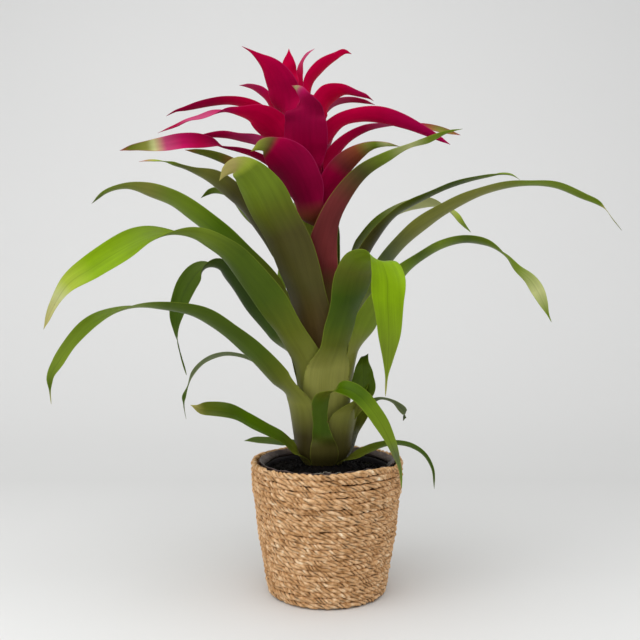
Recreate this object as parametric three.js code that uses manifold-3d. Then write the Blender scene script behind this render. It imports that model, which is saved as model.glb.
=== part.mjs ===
// Potted bromeliad: a strap-leaved rosette with a crimson flower head, in a black growing pot
// that stands in a plastic-lined basket of wound seagrass rope. Millimetres, +Z up.
// The origin is the middle of the basket's underside, and the photograph looks along +Y.
import * as THREE from "three";
import { mergeVertices } from "three/addons/utils/BufferGeometryUtils.js";
import Module from "manifold-3d";

const wasm = await Module();
wasm.setup();

// Basket
const BASKET_HEIGHT = 129.5;
const BASKET_TOP_RADIUS = 72;
const BASKET_FOOT_RADIUS = 59;
const BASKET_WALL = 5;
const ROPE_PITCH = 5.4; // height of one row of rope
const ROPE_SWELL = 1.1; // how far a row bulges past the groove between rows
const COLLAR_DEPTH = 31; // the folded-over band at the top
const COLLAR_STEP = 3; // how far it stands out
const ROUNDS = 32; // facets round the basket and pots

// Plastic liner, growing pot and soil
const GAP = 0.3; // between pieces that touch
const LINER_THICKNESS = 0.8;
const LINER_TOP = 128;
const POT_FLOOR = 7;
const POT_TOP = 122;
const POT_FOOT_RADIUS = 45;
const POT_TOP_RADIUS = 61;
const POT_WALL = 1.4;
const POT_LIP = 3;
const DRAIN_RADIUS = 5;
const SOIL_TOP = 117;
const CROWN_HOLE_RADIUS = 29; // plain hole in the soil for the plant's crown
const CROWN_HOLE_FLOOR = 82;

// Plant
const PLANT_X = -4; // the crown stands a little left of the basket's middle
const STALK_RADIUS = 6;
const STALK_TOP = 466;
const STALK_THINS = 400; // where the stalk starts to thin
const STALK_TOP_RADIUS = 3;
const LEAN_FROM = 300; // the flower stalk leans left above this height
const LEAN_REACH = 33; // by this much
const LEAN_HEIGHT = 220; // over this height
const SHEATH_BOWL = 113; // height where the rounded foot of every sheath ends
const SHEATH_NECK = 10; // and how far it then goes straight up
const LEAF_THICKNESS = 1.2;
const BRACT_THICKNESS = 1;
const EDGE_THICKNESS = 0.7;
const LEAF_CUP = 0.45; // half the angle that a leaf's section bends through, radians
const BRACT_CUP = 0.6;
const ACROSS = 4; // strips across a blade

// Green leaves, the lowest first. shell is the radius of the layer in which the leaf's sheath
// lies round the stem, clasp half the angle it wraps, and path the middle line of the blade:
// [x, y, z, width, roll in degrees].
const LEAVES = [
  { name: "low_front", shell: 27, clasp: 31, path: [
    [-3, -31, 147, 26, 0], [-5, -33, 157, 21, 0], [-6, -35, 166, 16, 0], [-7, -39, 180, 15, 0],
    [-6, -43, 191, 17, 0], [-2, -48, 199, 16, 0], [4, -52, 202, 14, 5], [12, -57, 206, 15, 40],
    [20, -62, 205, 16, 45], [30, -68, 199, 17, 35], [39, -74, 189, 17, 25], [48, -79, 176, 16, 25],
    [55, -82, 162, 12, 25], [60, -84, 149, 7, 30], [64, -84, 135, 3.1, 30], [65, -84, 120, 1.8, 30],
  ] },
  { name: "low_right", shell: 27, clasp: 13, path: [
    [17, -18, 128, 11, 35], [30, -18, 137, 12, 35], [47, -20, 145, 12, 30], [65, -24, 149, 11, 15],
    [79, -27, 147, 10, 15], [91, -30, 140, 8, 15], [99, -32, 127, 4.7, 20], [101, -33, 107, 1.9, 20],
  ] },
  { name: "low_left", shell: 27, clasp: 12, path: [
    [-23, -21, 132, 11, -45], [-32, -25, 144, 13, -55], [-42, -31, 155, 14, -50],
    [-55, -37, 163, 18, -40], [-72, -44, 173, 23, -35], [-88, -51, 182, 24, -30],
    [-107, -57, 186, 23, -25], [-116, -60, 187, 13, -35], [-124, -62, 191, 2.3, -35],
  ] },
  { name: "low_back_left", shell: 27, clasp: 22, path: [
    [-23, 20, 137, 12, -25], [-44, 32, 139, 12, -30], [-65, 42, 139, 12, -25], [-77, 47, 139, 8, -30],
    [-86, 50, 137, 3, -30],
  ] },
  { name: "left_low", shell: 24.8, clasp: 41, path: [
    [-28, -26, 187, 38, 30], [-45, -21, 209, 31, 40], [-67, -24, 234, 27, 40], [-91, -30, 255, 25, 35],
    [-120, -38, 273, 24, 30], [-149, -46, 279, 23, 20], [-175, -52, 280, 23, 5],
    [-192, -56, 276, 22, -12], [-211, -62, 266, 19, -35], [-227, -67, 250, 17, -42],
    [-240, -70, 231, 14, -47], [-247, -72, 217, 8, -42], [-247, -73, 207, 2.7, -40],
    [-246, -73, 193, 1.8, -40],
  ] },
  { name: "front_fold", shell: 22.6, clasp: 52, path: [
    [2, -33, 221, 45, 0], [8, -38, 243, 33, 4], [13, -46, 264, 35, 5], [20, -55, 288, 39, 5],
    [26, -67, 311, 40, -4], [34, -80, 322, 38, -14], [46, -93, 321, 36, -12], [50, -99, 310, 34, 2],
    [51, -102, 286, 29, 14], [52, -103, 258, 21, 14], [51, -103, 235, 9, 12], [50, -103, 222, 3, 10],
    [49, -103, 204, 1.7, 10],
  ] },
  { name: "right_small", shell: 27, clasp: 18, path: [
    [29, 10, 153, 17, 20], [36, 16, 170, 13, 30], [43, 22, 180, 9, 25], [53, 30, 184, 6, 20],
    [66, 36, 181, 6, 35], [74, 40, 175, 9, 60], [81, 42, 167, 9, 65], [79, 43, 159, 2.1, 65],
  ] },
  { name: "left_big", shell: 20.4, clasp: 40, path: [
    [-18, -26, 221, 40, 20], [-35, -35, 255, 36, 25], [-55, -42, 287, 34, 40], [-74, -48, 312, 34, 35],
    [-94, -53, 332, 34, 30], [-112, -57, 342, 32, 20], [-133, -60, 346, 31, 0],
    [-158, -64, 344, 30, -35], [-184, -69, 331, 29, -55], [-208, -73, 315, 27, -60],
    [-229, -76, 300, 20, -58], [-241, -78, 281, 11, -50], [-250, -79, 260, 1.8, -45],
  ] },
  { name: "right_arch", shell: 20.4, clasp: 36, path: [
    [28, -12, 235, 32, -35], [37, -16, 262, 29, -38], [54, -20, 292, 25, -32], [72, -24, 313, 25, -24],
    [89, -27, 326, 23, -20], [107, -30, 336, 22, -18], [129, -34, 341, 21, -16],
    [149, -38, 337, 18, -12], [164, -41, 327, 13, 5], [175, -43, 314, 12, 35], [186, -45, 304, 13, 55],
    [193, -47, 293, 13, 65], [198, -48, 282, 9, 65], [202, -49, 272, 2.7, 65], [205, -50, 265, 1.8, 65],
  ] },
  { name: "left_thin", shell: 24.8, clasp: 25, path: [
    [-31, 14, 187, 20, -15], [-55, 24, 211, 14, -15], [-78, 34, 224, 12, -5], [-106, 42, 228, 11, -18],
    [-126, 48, 221, 10, -38], [-140, 52, 206, 7, -55], [-145, 54, 193, 3.1, -45],
    [-149, 54, 181, 6, -70], [-149, 55, 171, 3.7, -65], [-147, 55, 159, 2.1, -60],
  ] },
  { name: "right_hang", shell: 24.8, clasp: 44, path: [
    [22, -24, 179, 38, -8], [30, -20, 194, 22, 0], [36, -9, 210, 12, 8], [38, 1, 223, 9, 25],
    [37.5, -2, 231, 8, 36], [35, -9, 224, 13, 38], [35, -14, 212, 21, 42], [34, -19, 198, 27, 35],
    [31, -22, 185, 13, 15], [26, -24, 171, 1.9, 10],
  ] },
  { name: "right_long", shell: 18.2, clasp: 35, path: [
    [28, -6, 263, 32, -55], [43, 0, 298, 26, -55], [60, 4, 326, 24, -45], [85, 8, 352, 25, -40],
    [119, 12, 375, 25, -32], [161, 14, 393, 25, -15], [196, 16, 399, 22, -5], [228, 16, 397, 18, -12],
    [254, 15, 386, 13, -20], [269, 14, 379, 7, -15], [274, 14, 375, 2, -10], [282, 13, 364, 2, 0],
    [291, 13, 353, 2, 0],
  ] },
  { name: "left_hang", shell: 20.4, clasp: 26, path: [
    [-27, 16, 213, 26, 45], [-52, 24, 251, 26, 58], [-76, 30, 282, 27, 68], [-96, 36, 308, 26, 60],
    [-110, 40, 319, 25, 35], [-120, 43, 319, 24, 0], [-129, 46, 316, 25, -45], [-142, 48, 302, 27, -72],
    [-151, 50, 283, 22, -82], [-156, 51, 263, 15, -85], [-156, 52, 247, 7, -80],
    [-153, 53, 231, 3.1, -70], [-146, 54, 205, 2.1, -60],
  ] },
  { name: "front_big", shell: 18.2, clasp: 45, path: [
    [-13, -28, 255, 44, -5], [-23, -35, 298, 48, 5], [-35, -43, 336, 46, 25], [-50, -53, 365, 46, 25],
    [-61, -63, 386, 44, 20], [-71, -72, 399, 32, 25], [-79, -79, 403, 19, 45], [-87, -83, 399, 12, 62],
    [-94, -86, 389, 2.6, 65],
  ] },
  { name: "left_upper", shell: 18.2, clasp: 20, path: [
    [-31, -2, 260, 30, 45], [-55, -3, 300, 28, 50], [-81, -3, 327, 28, 50], [-106, -2, 351, 28, 50],
    [-127, 0, 368, 28, 45], [-151, 2, 383, 28, 35], [-174, 4, 391, 22, 35], [-198, 6, 395, 15, 15],
    [-217, 8, 390, 9, 10], [-231, 10, 379, 2.5, 10],
  ] },
  { name: "right_upper", shell: 16, clasp: 31, path: [
    [24, 4, 285, 30, -55], [35, 8, 327, 25, -48], [49, 12, 349, 24, -40], [68, 17, 370, 22, -24],
    [93, 21, 384, 22, -16], [123, 26, 398, 20, -14], [149, 29, 406, 16, -10], [165, 30, 409, 10, -5],
    [176, 31, 411, 9, 20], [186, 31, 410, 6, 30], [195, 32, 405, 2, 30],
  ] },
  { name: "right_red", shell: 16, clasp: 42, path: [
    [-4, -22, 295, 32, 0], [-5, -27, 327, 31, -5], [3, -32, 362, 25, -15], [16, -38, 385, 20, -35],
    [34, -43, 404, 16, -40], [55, -48, 416, 12, -35], [75, -51, 425, 8, -20], [91, -54, 430, 8, -40],
    [106, -56, 436, 5, -30], [121, -58, 439, 1.8, -15],
  ] },
  { name: "left_dark", shell: 13.8, clasp: 28, path: [
    [-25, 3, 292, 22, 55], [-46, 3, 334, 28, 55], [-69, 6, 365, 28, 50], [-91, 11, 389, 28, 45],
    [-111, 13, 404, 23, 40], [-129, 14, 411, 16, 25], [-143, 15, 416, 12, 15], [-153, 16, 419, 8, 20],
    [-160, 16, 421, 3.9, 0], [-170, 17, 422, 6, -20], [-178, 17, 422, 4.9, -25],
    [-186, 17, 421, 2, -20],
  ] },
  { name: "right_pale", shell: 13.8, clasp: 27, path: [
    [14, 14, 300, 18, -45], [31, 26, 339, 21, -48], [54, 36, 364, 20, -45], [79, 44, 378, 18, -40],
    [107, 51, 383, 19, -25], [123, 54, 379, 18, 15], [136, 57, 370, 15, 45], [143, 58, 362, 8, 50],
    [151, 60, 354, 2.6, 50],
  ] },
  { name: "right_dark", shell: 11.6, clasp: 18, path: [
    [3, 6, 288, 24, -20], [7, 12, 316, 20, -20], [9, 18, 344, 12, -20], [10, 24, 365, 2.5, -20],
  ] },
  { name: "left_short", shell: 16, clasp: 18, path: [
    [-19, 20, 300, 18, 40], [-50, 34, 342, 16, 50], [-81, 43, 372, 18, 50], [-103, 46, 394, 14, 40],
    [-118, 50, 396, 9, 35], [-130, 52, 389, 2.6, 25],
  ] },
  { name: "left_olive", shell: 11.6, clasp: 22, path: [
    [-23, 4, 322, 22, 45], [-45, 2, 366, 18, 45], [-67, 0, 394, 17, 38], [-87, -2, 414, 15, 35],
    [-105, -3, 422, 13, 35], [-123, -4, 427, 9, 30], [-137, -5, 429, 2.4, 30],
  ] },
  { name: "back_low", shell: 27, clasp: 22, path: [
    [4, 28, 150, 20, 0], [8, 58, 162, 20, 0], [8, 92, 160, 18, 0], [6, 114, 147, 10, 0],
    [4, 122, 132, 3, 0],
  ] },
  { name: "back_right", shell: 24.8, clasp: 26, path: [
    [5, 30, 190, 32, 0], [16, 62, 236, 28, 0], [30, 104, 268, 26, 0], [50, 148, 276, 24, 0],
    [66, 182, 262, 17, 0], [75, 200, 238, 3, 0],
  ] },
  { name: "back_left", shell: 22.6, clasp: 28, path: [
    [-4, 30, 205, 34, 0], [-16, 60, 262, 30, 0], [-26, 98, 304, 28, 0], [-38, 144, 322, 26, 0],
    [-48, 184, 312, 20, 0], [-56, 212, 284, 3, 0],
  ] },
  { name: "back_arch", shell: 20.4, clasp: 30, path: [
    [3, 28, 230, 34, 0], [12, 54, 280, 30, 0], [26, 90, 316, 28, 0], [42, 132, 328, 26, 0],
    [56, 174, 316, 20, 0], [64, 204, 290, 3, 0],
  ] },
  { name: "back_high", shell: 18.2, clasp: 38, path: [
    [-6, 27, 255, 34, 0], [-12, 52, 318, 30, 0], [-18, 84, 366, 28, 0], [-24, 122, 390, 24, 0],
    [-30, 158, 388, 16, 0], [-34, 184, 370, 3, 0],
  ] },
  { name: "back_top", shell: 16, clasp: 24, path: [
    [0, 26, 280, 24, 0], [0, 48, 344, 28, 0], [-4, 76, 386, 26, 0], [0, 110, 404, 20, 0],
    [8, 142, 398, 3, 0],
  ] },
  { name: "back_inner", shell: 13.8, clasp: 22, path: [
    [-6, 22, 300, 20, 0], [-16, 42, 362, 24, 0], [-24, 68, 402, 20, 0], [-34, 98, 414, 3, 0],
  ] },
];

// Bracts of the flower head, with the height at which each leaves the stalk.
const BRACTS = [
  { name: "top_point", from: 455, path: [
    [-36, 2, 486, 17, 0], [-36, 6, 501, 18, 0], [-37, 7, 512, 15, 0], [-37, 8, 521, 8, 0],
    [-37, 8, 529, 1.9, 0],
  ] },
  { name: "top_left", from: 436, path: [
    [-35, -15, 446, 28, 15], [-39, -14, 469, 34, 15], [-44, -18, 488, 33, 28], [-54, -22, 503, 22, 38],
    [-64, -23, 512, 9, 40], [-71, -24, 517, 3.7, 35], [-80, -24, 522, 1.9, 30],
  ] },
  { name: "top_thin", from: 463, path: [
    [-28, 23, 493, 11, -5], [-27, 25, 508, 8, 5], [-25, 26, 520, 6, 15], [-19, 26, 529, 5, 30],
    [-12, 26, 534, 2, 35],
  ] },
  { name: "top_right", from: 445, path: [
    [-17, 1, 476, 16, -30], [-17, 1, 495, 19, -35], [-7, 3, 509, 19, -35], [8, 5, 520, 12, -30],
    [18, 6, 525, 7, -30], [24, 6, 523, 1.9, -30],
  ] },
  { name: "back_left", from: 424, path: [
    [-45, 12, 459, 22, 40], [-54, 14, 477, 20, 45], [-64, 18, 489, 16, 35], [-75, 20, 495, 9, 25],
    [-87, 22, 497, 2, 25],
  ] },
  { name: "upper_left", from: 412, path: [
    [-45, 1, 442, 24, 45], [-61, 4, 462, 23, 35], [-77, 2, 473, 21, 22], [-96, 4, 477, 18, 15],
    [-112, 6, 476, 17, 15], [-125, 8, 474, 14, 18], [-138, 9, 471, 8, 20], [-147, 9, 469, 3.9, 20],
    [-157, 9, 464, 2, 20],
  ] },
  { name: "front_left", from: 402, path: [
    [-36, -12, 428, 34, 30], [-50, -16, 447, 35, 35], [-66, -28, 457, 28, 30], [-81, -32, 459, 19, 15],
    [-94, -35, 460, 13, 0], [-106, -38, 457, 12, -25], [-117, -40, 453, 10, -30],
    [-128, -41, 450, 8, -25], [-138, -42, 445, 7, -30], [-148, -43, 441, 4.6, -30],
    [-155, -43, 438, 1.8, -30],
  ] },
  { name: "front_cup", from: 396, path: [
    [-23, -22, 411, 36, -12], [-21, -32, 432, 45, -15], [-21, -39, 451, 42, -15],
    [-21, -39, 465, 31, -8], [-24, -38, 475, 18, 5], [-28, -38, 480, 9, 25], [-33, -39, 482, 1.8, 40],
  ] },
  { name: "upper_right", from: 424, path: [
    [-10, -5, 448, 19, -5], [-8, -8, 466, 26, -35], [1, -8, 480, 26, -35], [14, -11, 484, 19, -25],
    [29, -14, 480, 10, -25], [38, -15, 477, 6, -25], [44, -16, 473, 1.9, -20],
  ] },
  { name: "under_right", from: 418, path: [
    [-13, 12, 447, 18, -40], [-5, 16, 466, 15, -40], [7, 19, 478, 12, -30], [22, 21, 482, 10, -25],
    [36, 22, 481, 7, -25], [48, 23, 478, 2, -25],
  ] },
  { name: "right_wide", from: 404, path: [
    [-12, -13, 419, 20, -5], [-3, -14, 438, 24, -20], [12, -19, 453, 22, -20], [29, -25, 457, 21, -30],
    [49, -32, 456, 20, -45], [70, -38, 449, 17, -45], [92, -43, 438, 10, -40], [112, -46, 427, 2, -40],
  ] },
  { name: "right_slim", from: 382, path: [
    [-1, 6, 403, 20, -45], [4, 6, 423, 20, -45], [18, 7, 440, 16, -40], [36, 10, 451, 12, -35],
    [60, 13, 456, 8, -10], [92, 15, 456, 8, 40], [112, 16, 452, 8, 60], [132, 17, 447, 2, 60],
  ] },
  { name: "left_tail", from: 386, path: [
    [-40, 8, 419, 20, 45], [-56, 14, 435, 17, 50], [-70, 18, 442, 16, 40], [-86, 20, 445, 14, 30],
    [-102, 22, 448, 11, 28], [-116, 23, 448, 7, 30], [-132, 24, 446, 2, 30],
  ] },
  { name: "left_green_tip", from: 374, path: [
    [-41, -10, 403, 24, 5], [-56, -17, 415, 18, 5], [-71, -24, 422, 14, 10], [-84, -29, 425, 11, 10],
    [-96, -33, 427, 9, -5], [-105, -37, 430, 14, -40], [-117, -41, 431, 17, -60],
    [-132, -45, 430, 17, -68], [-147, -49, 427, 16, -70], [-160, -52, 425, 13, -70],
    [-174, -54, 423, 8, -65], [-187, -56, 420, 1.8, -65],
  ] },
  { name: "front_wide", from: 356, path: [
    [-15, -20, 362, 30, -10], [-20, -27, 379, 40, -8], [-26, -36, 396, 48, 5], [-36, -44, 411, 46, 28],
    [-48, -51, 421, 29, 52], [-57, -55, 425, 14, 72], [-69, -58, 419, 1.8, 80],
  ] },
  { name: "right_maroon", from: 366, path: [
    [-6, -14, 373, 29, -5], [4, -20, 396, 27, -25], [15, -25, 412, 23, -45], [28, -30, 422, 17, -50],
    [41, -33, 428, 10, -45], [54, -35, 429, 6, -35], [67, -36, 427, 1.8, -30],
  ] },
  { name: "small_right", from: 398, path: [
    [-6, 19, 423, 16, -30], [1, 22, 436, 16, -25], [5, 25, 446, 11, -25], [7, 27, 454, 2, -25],
  ] },
  { name: "far_low", from: 362, path: [
    [-2, 18, 384, 28, 0], [6, 40, 410, 24, 0], [14, 70, 424, 18, 0], [22, 98, 420, 2, 0],
  ] },
  { name: "far_left", from: 390, path: [
    [-24, 18, 412, 28, 0], [-34, 40, 434, 24, 0], [-44, 70, 446, 16, 0], [-54, 100, 440, 2, 0],
  ] },
  { name: "far_right", from: 408, path: [
    [-16, 18, 432, 24, 0], [-18, 42, 455, 20, 0], [-14, 68, 465, 13, 0], [-10, 92, 461, 2, 0],
  ] },
  { name: "far_high", from: 440, path: [
    [-20, 14, 462, 24, 0], [-16, 28, 482, 20, 0], [-12, 48, 494, 12, 0], [-8, 70, 492, 2, 0],
  ] },
  { name: "far_top", from: 452, path: [
    [-31, 15, 474, 20, 0], [-34, 28, 494, 16, 0], [-38, 42, 506, 9, 0], [-42, 56, 508, 2, 0],
  ] },
];

const COLOURS = {
  basket: [0xc69a68, 0.85],
  liner: [0x3b3233, 0.5],
  pot: [0x161416, 0.45],
  soil: [0x17120e, 0.95],
  stem: [0x6f7a3c, 0.5],
  leaf: [0x567a22, 0.42],
  innerLeaf: [0x6a6a34, 0.42],
  bract: [0xa8083f, 0.42],
};

function finish([colour, roughness]) {
  return new THREE.MeshStandardMaterial({ color: colour, roughness, metalness: 0 });
}

function node(name, geometry, colour) {
  const mesh = new THREE.Mesh(geometry, finish(colour));
  mesh.name = name;
  return mesh;
}

// A profile of [radius, height] points turned about the upright axis.
function turned(profile, rounds = ROUNDS) {
  const points = profile.map(([radius, height]) => new THREE.Vector2(radius, height));
  return new THREE.LatheGeometry(points, rounds).rotateX(Math.PI / 2);
}

function solid(geometry) {
  const bare = new THREE.BufferGeometry();
  bare.setAttribute("position", geometry.getAttribute("position"));
  bare.setIndex(geometry.index);
  const merged = mergeVertices(bare, 1e-3);
  return new wasm.Manifold(new wasm.Mesh({
    numProp: 3,
    vertProperties: merged.attributes.position.array,
    triVerts: new Uint32Array(merged.index.array),
  }));
}

function geometryOf(body) {
  const mesh = body.getMesh();
  const geometry = new THREE.BufferGeometry();
  geometry.setAttribute("position", new THREE.BufferAttribute(mesh.vertProperties, 3));
  geometry.setIndex(new THREE.BufferAttribute(mesh.triVerts, 1));
  return geometry;
}

function mix(a, b, t) {
  return a + (b - a) * t;
}

// Radius of the basket's wall at a height, without its rope or collar.
function basketRadius(z) {
  return mix(BASKET_FOOT_RADIUS, BASKET_TOP_RADIUS, z / BASKET_HEIGHT);
}

// Rows of rope up the outside, the collar folded out over the top rows, plain inside.
function basket() {
  const profile = [[0, 0], [BASKET_FOOT_RADIUS - 8, 0]];
  const rows = Math.round(BASKET_HEIGHT / ROPE_PITCH);
  const pitch = BASKET_HEIGHT / rows;
  for (let row = 0; row < rows; row += 1) {
    const middle = (row + 0.5) * pitch;
    const collar = middle > BASKET_HEIGHT - COLLAR_DEPTH ? COLLAR_STEP : 0;
    const foot = row === 0 ? -3 : 0;
    profile.push([basketRadius(middle) + collar + foot, middle]);
    if (row < rows - 1) {
      const top = (row + 1) * pitch;
      const groove = middle + pitch > BASKET_HEIGHT - COLLAR_DEPTH ? COLLAR_STEP : 0;
      profile.push([basketRadius(top) + Math.min(collar, groove) - ROPE_SWELL, top]);
    }
  }
  profile.push([basketRadius(BASKET_HEIGHT) + COLLAR_STEP - 2.5, BASKET_HEIGHT]);
  profile.push([basketRadius(BASKET_HEIGHT) - BASKET_WALL + 1.5, BASKET_HEIGHT]);
  profile.push([basketRadius(BASKET_HEIGHT) - BASKET_WALL, BASKET_HEIGHT - 2]);
  profile.push([basketRadius(BASKET_WALL) - BASKET_WALL, BASKET_WALL]);
  profile.push([0, BASKET_WALL]);
  return turned(profile);
}

// Film liner: a thin bag that follows the basket's inside.
function liner() {
  const floor = BASKET_WALL + GAP;
  const outside = (z) => basketRadius(z) - BASKET_WALL - GAP - 0.2;
  return turned([
    [0, floor],
    [outside(floor), floor],
    [outside(LINER_TOP), LINER_TOP],
    [outside(LINER_TOP) - LINER_THICKNESS, LINER_TOP],
    [outside(floor) - LINER_THICKNESS, floor + LINER_THICKNESS],
    [0, floor + LINER_THICKNESS],
  ]);
}

function potRadius(z) {
  return mix(POT_FOOT_RADIUS, POT_TOP_RADIUS, (z - POT_FLOOR) / (POT_TOP - POT_FLOOR));
}

// Growing pot with a turned-out lip and four drain holes in its floor.
function nurseryPot() {
  const cup = solid(turned([
    [0, POT_FLOOR],
    [POT_FOOT_RADIUS, POT_FLOOR],
    [potRadius(POT_TOP - 6), POT_TOP - 6],
    [POT_TOP_RADIUS + POT_LIP, POT_TOP - 6],
    [POT_TOP_RADIUS + POT_LIP, POT_TOP],
    [POT_TOP_RADIUS - POT_WALL, POT_TOP],
    [POT_FOOT_RADIUS - POT_WALL, POT_FLOOR + POT_WALL],
    [0, POT_FLOOR + POT_WALL],
  ]));
  let drained = cup;
  for (let i = 0; i < 4; i += 1) {
    const angle = (i + 0.5) * Math.PI / 2;
    const drill = new THREE.CylinderGeometry(DRAIN_RADIUS, DRAIN_RADIUS, 12, 12);
    drill.rotateX(Math.PI / 2);
    drill.translate(28 * Math.cos(angle), 28 * Math.sin(angle), POT_FLOOR);
    drained = drained.subtract(solid(drill));
  }
  return geometryOf(drained);
}

function soil() {
  const floor = POT_FLOOR + POT_WALL + GAP;
  const inside = (z) => potRadius(z) - POT_WALL - GAP - 0.3;
  const fill = solid(turned([
    [0, floor],
    [inside(floor), floor],
    [inside(SOIL_TOP - 2), SOIL_TOP - 2],
    [0, SOIL_TOP + 3],
  ]));
  const drill = new THREE.CylinderGeometry(CROWN_HOLE_RADIUS, CROWN_HOLE_RADIUS, 60, ROUNDS);
  drill.rotateX(Math.PI / 2);
  drill.translate(PLANT_X, 0, CROWN_HOLE_FLOOR + 30);
  return geometryOf(fill.subtract(solid(drill)));
}

// Where the middle of the plant stands at a height: it leans left as it nears the top.
function plantX(z) {
  const rise = Math.max(0, z - LEAN_FROM) / LEAN_HEIGHT;
  return PLANT_X - LEAN_REACH * rise * rise;
}

// The stalk thins among the upper bracts.
function stalkRadius(z) {
  const thin = THREE.MathUtils.clamp((z - STALK_THINS) / (STALK_TOP - STALK_THINS), 0, 1);
  return mix(STALK_RADIUS, STALK_TOP_RADIUS, thin);
}

// Short crown in the soil and the flower stalk above it.
function stem() {
  const foot = CROWN_HOLE_FLOOR + GAP;
  const profile = [[0, foot], [STALK_RADIUS, foot]];
  for (let z = LEAN_FROM; z < STALK_TOP; z += 25) profile.push([stalkRadius(z), z]);
  profile.push([STALK_TOP_RADIUS, STALK_TOP], [0, STALK_TOP + 3]);
  const geometry = turned(profile, 16);
  const place = geometry.getAttribute("position");
  for (let i = 0; i < place.count; i += 1) {
    place.setX(i, place.getX(i) + plantX(place.getZ(i)));
  }
  return geometry;
}

// A smooth curve through rows of numbers that begin with x, y, z, at a place counted in rows.
// Its slope at a row is the mean of the slopes on both sides, weighed by how near each row is.
function through(rows, place) {
  const gap = (i) => Math.hypot(...[0, 1, 2].map((k) => rows[i + 1][k] - rows[i][k]));
  const step = (i, k) => (rows[i + 1][k] - rows[i][k]) / gap(i);
  const slope = (i, k) => {
    if (i === 0) return step(0, k);
    if (i === rows.length - 1) return step(i - 1, k);
    const [a, b] = [gap(i - 1), gap(i)];
    return (step(i - 1, k) * b + step(i, k) * a) / (a + b);
  };
  const i = Math.min(Math.floor(place), rows.length - 2);
  const t = place - i;
  const span = gap(i);
  return rows[i].map((b, k) => {
    const c = rows[i + 1][k];
    const leave = span * slope(i, k);
    const arrive = span * slope(i + 1, k);
    const cube = 2 * (b - c) + leave + arrive;
    const square = 3 * (c - b) - 2 * leave - arrive;
    return b + t * (leave + t * (square + t * cube));
  });
}

// Sections of a blade along its middle line: each a row of ACROSS + 1 points of its middle skin.
// Round the stem a section is part of a ring about the plant's middle, and further out a
// shallow gutter square to the middle line, turned by the roll.
function bladeSections(stations, rings, cup) {
  const last = stations.length - 1;
  const sections = [];
  for (let ring = 0; ring < rings; ring += 1) {
    const place = last * ring / (rings - 1);
    const [x, y, z, width, roll, hold] = through(stations, place);
    const ahead = through(stations, Math.min(place + 0.02, last));
    const behind = through(stations, Math.max(place - 0.02, 0));
    const along = new THREE.Vector3(...ahead.slice(0, 3)).sub(new THREE.Vector3(...behind.slice(0, 3)));
    along.normalize();
    const middle = new THREE.Vector3(x, y, z);
    const outward = new THREE.Vector3(x - plantX(z), y, 0);
    const out = outward.length();
    const facing = Math.atan2(outward.y, outward.x);
    outward.normalize().multiplyScalar(0.25).add(new THREE.Vector3(along.x, along.y, 0));
    const side = new THREE.Vector3(0, 0, 1).cross(outward);
    side.addScaledVector(along, -side.dot(along)).normalize();
    side.applyAxisAngle(along, THREE.MathUtils.degToRad(roll));
    const up = new THREE.Vector3().crossVectors(along, side);
    const half = Math.max(width, 1) / 2;
    const grip = THREE.MathUtils.clamp(hold, 0, 1);
    const section = [];
    for (let i = 0; i <= ACROSS; i += 1) {
      const u = 2 * i / ACROSS - 1;
      const gutter = middle.clone();
      gutter.addScaledVector(side, half * Math.sin(cup * u) / cup);
      gutter.addScaledVector(up, half * (mix(1, Math.cos(cup), 0.5) - Math.cos(cup * u)) / cup);
      const turn = facing + u * half / out;
      const round = new THREE.Vector3(plantX(z) + out * Math.cos(turn), out * Math.sin(turn), z);
      section.push(gutter.lerp(round, grip));
    }
    sections.push(section);
  }
  return sections;
}

// A closed blade: the middle skin of the sections thickened to both sides, thinner at its edges.
function blade(sections, thickness) {
  const rings = sections.length;
  const vertices = [];
  const upper = (ring, i) => 2 * (ring * (ACROSS + 1) + i);
  const lower = (ring, i) => upper(ring, i) + 1;
  for (let ring = 0; ring < rings; ring += 1) {
    for (let i = 0; i <= ACROSS; i += 1) {
      const ahead = sections[Math.min(ring + 1, rings - 1)][i];
      const behind = sections[Math.max(ring - 1, 0)][i];
      const left = sections[ring][Math.max(i - 1, 0)];
      const right = sections[ring][Math.min(i + 1, ACROSS)];
      const normal = ahead.clone().sub(behind).cross(right.clone().sub(left)).normalize();
      const edge = Math.abs(2 * i / ACROSS - 1);
      const depth = mix(thickness, EDGE_THICKNESS, edge) / 2;
      const point = sections[ring][i];
      vertices.push(...point.clone().addScaledVector(normal, depth).toArray());
      vertices.push(...point.clone().addScaledVector(normal, -depth).toArray());
    }
  }
  const faces = [];
  const quad = (a, b, c, d) => faces.push(a, b, c, a, c, d);
  for (let ring = 0; ring < rings - 1; ring += 1) {
    for (let i = 0; i < ACROSS; i += 1) {
      quad(upper(ring, i), upper(ring + 1, i), upper(ring + 1, i + 1), upper(ring, i + 1));
      faces.push(lower(ring, i), lower(ring + 1, i + 1), lower(ring + 1, i));
      faces.push(lower(ring, i), lower(ring, i + 1), lower(ring + 1, i + 1));
    }
    quad(upper(ring, 0), lower(ring, 0), lower(ring + 1, 0), upper(ring + 1, 0));
    quad(upper(ring + 1, ACROSS), lower(ring + 1, ACROSS), lower(ring, ACROSS), upper(ring, ACROSS));
  }
  for (let i = 0; i < ACROSS; i += 1) {
    quad(upper(0, i), upper(0, i + 1), lower(0, i + 1), lower(0, i));
    quad(upper(rings - 1, i + 1), upper(rings - 1, i), lower(rings - 1, i), lower(rings - 1, i + 1));
  }
  const geometry = new THREE.BufferGeometry();
  geometry.setAttribute("position", new THREE.Float32BufferAttribute(vertices, 3));
  geometry.setIndex(faces);
  return geometry;
}

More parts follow.
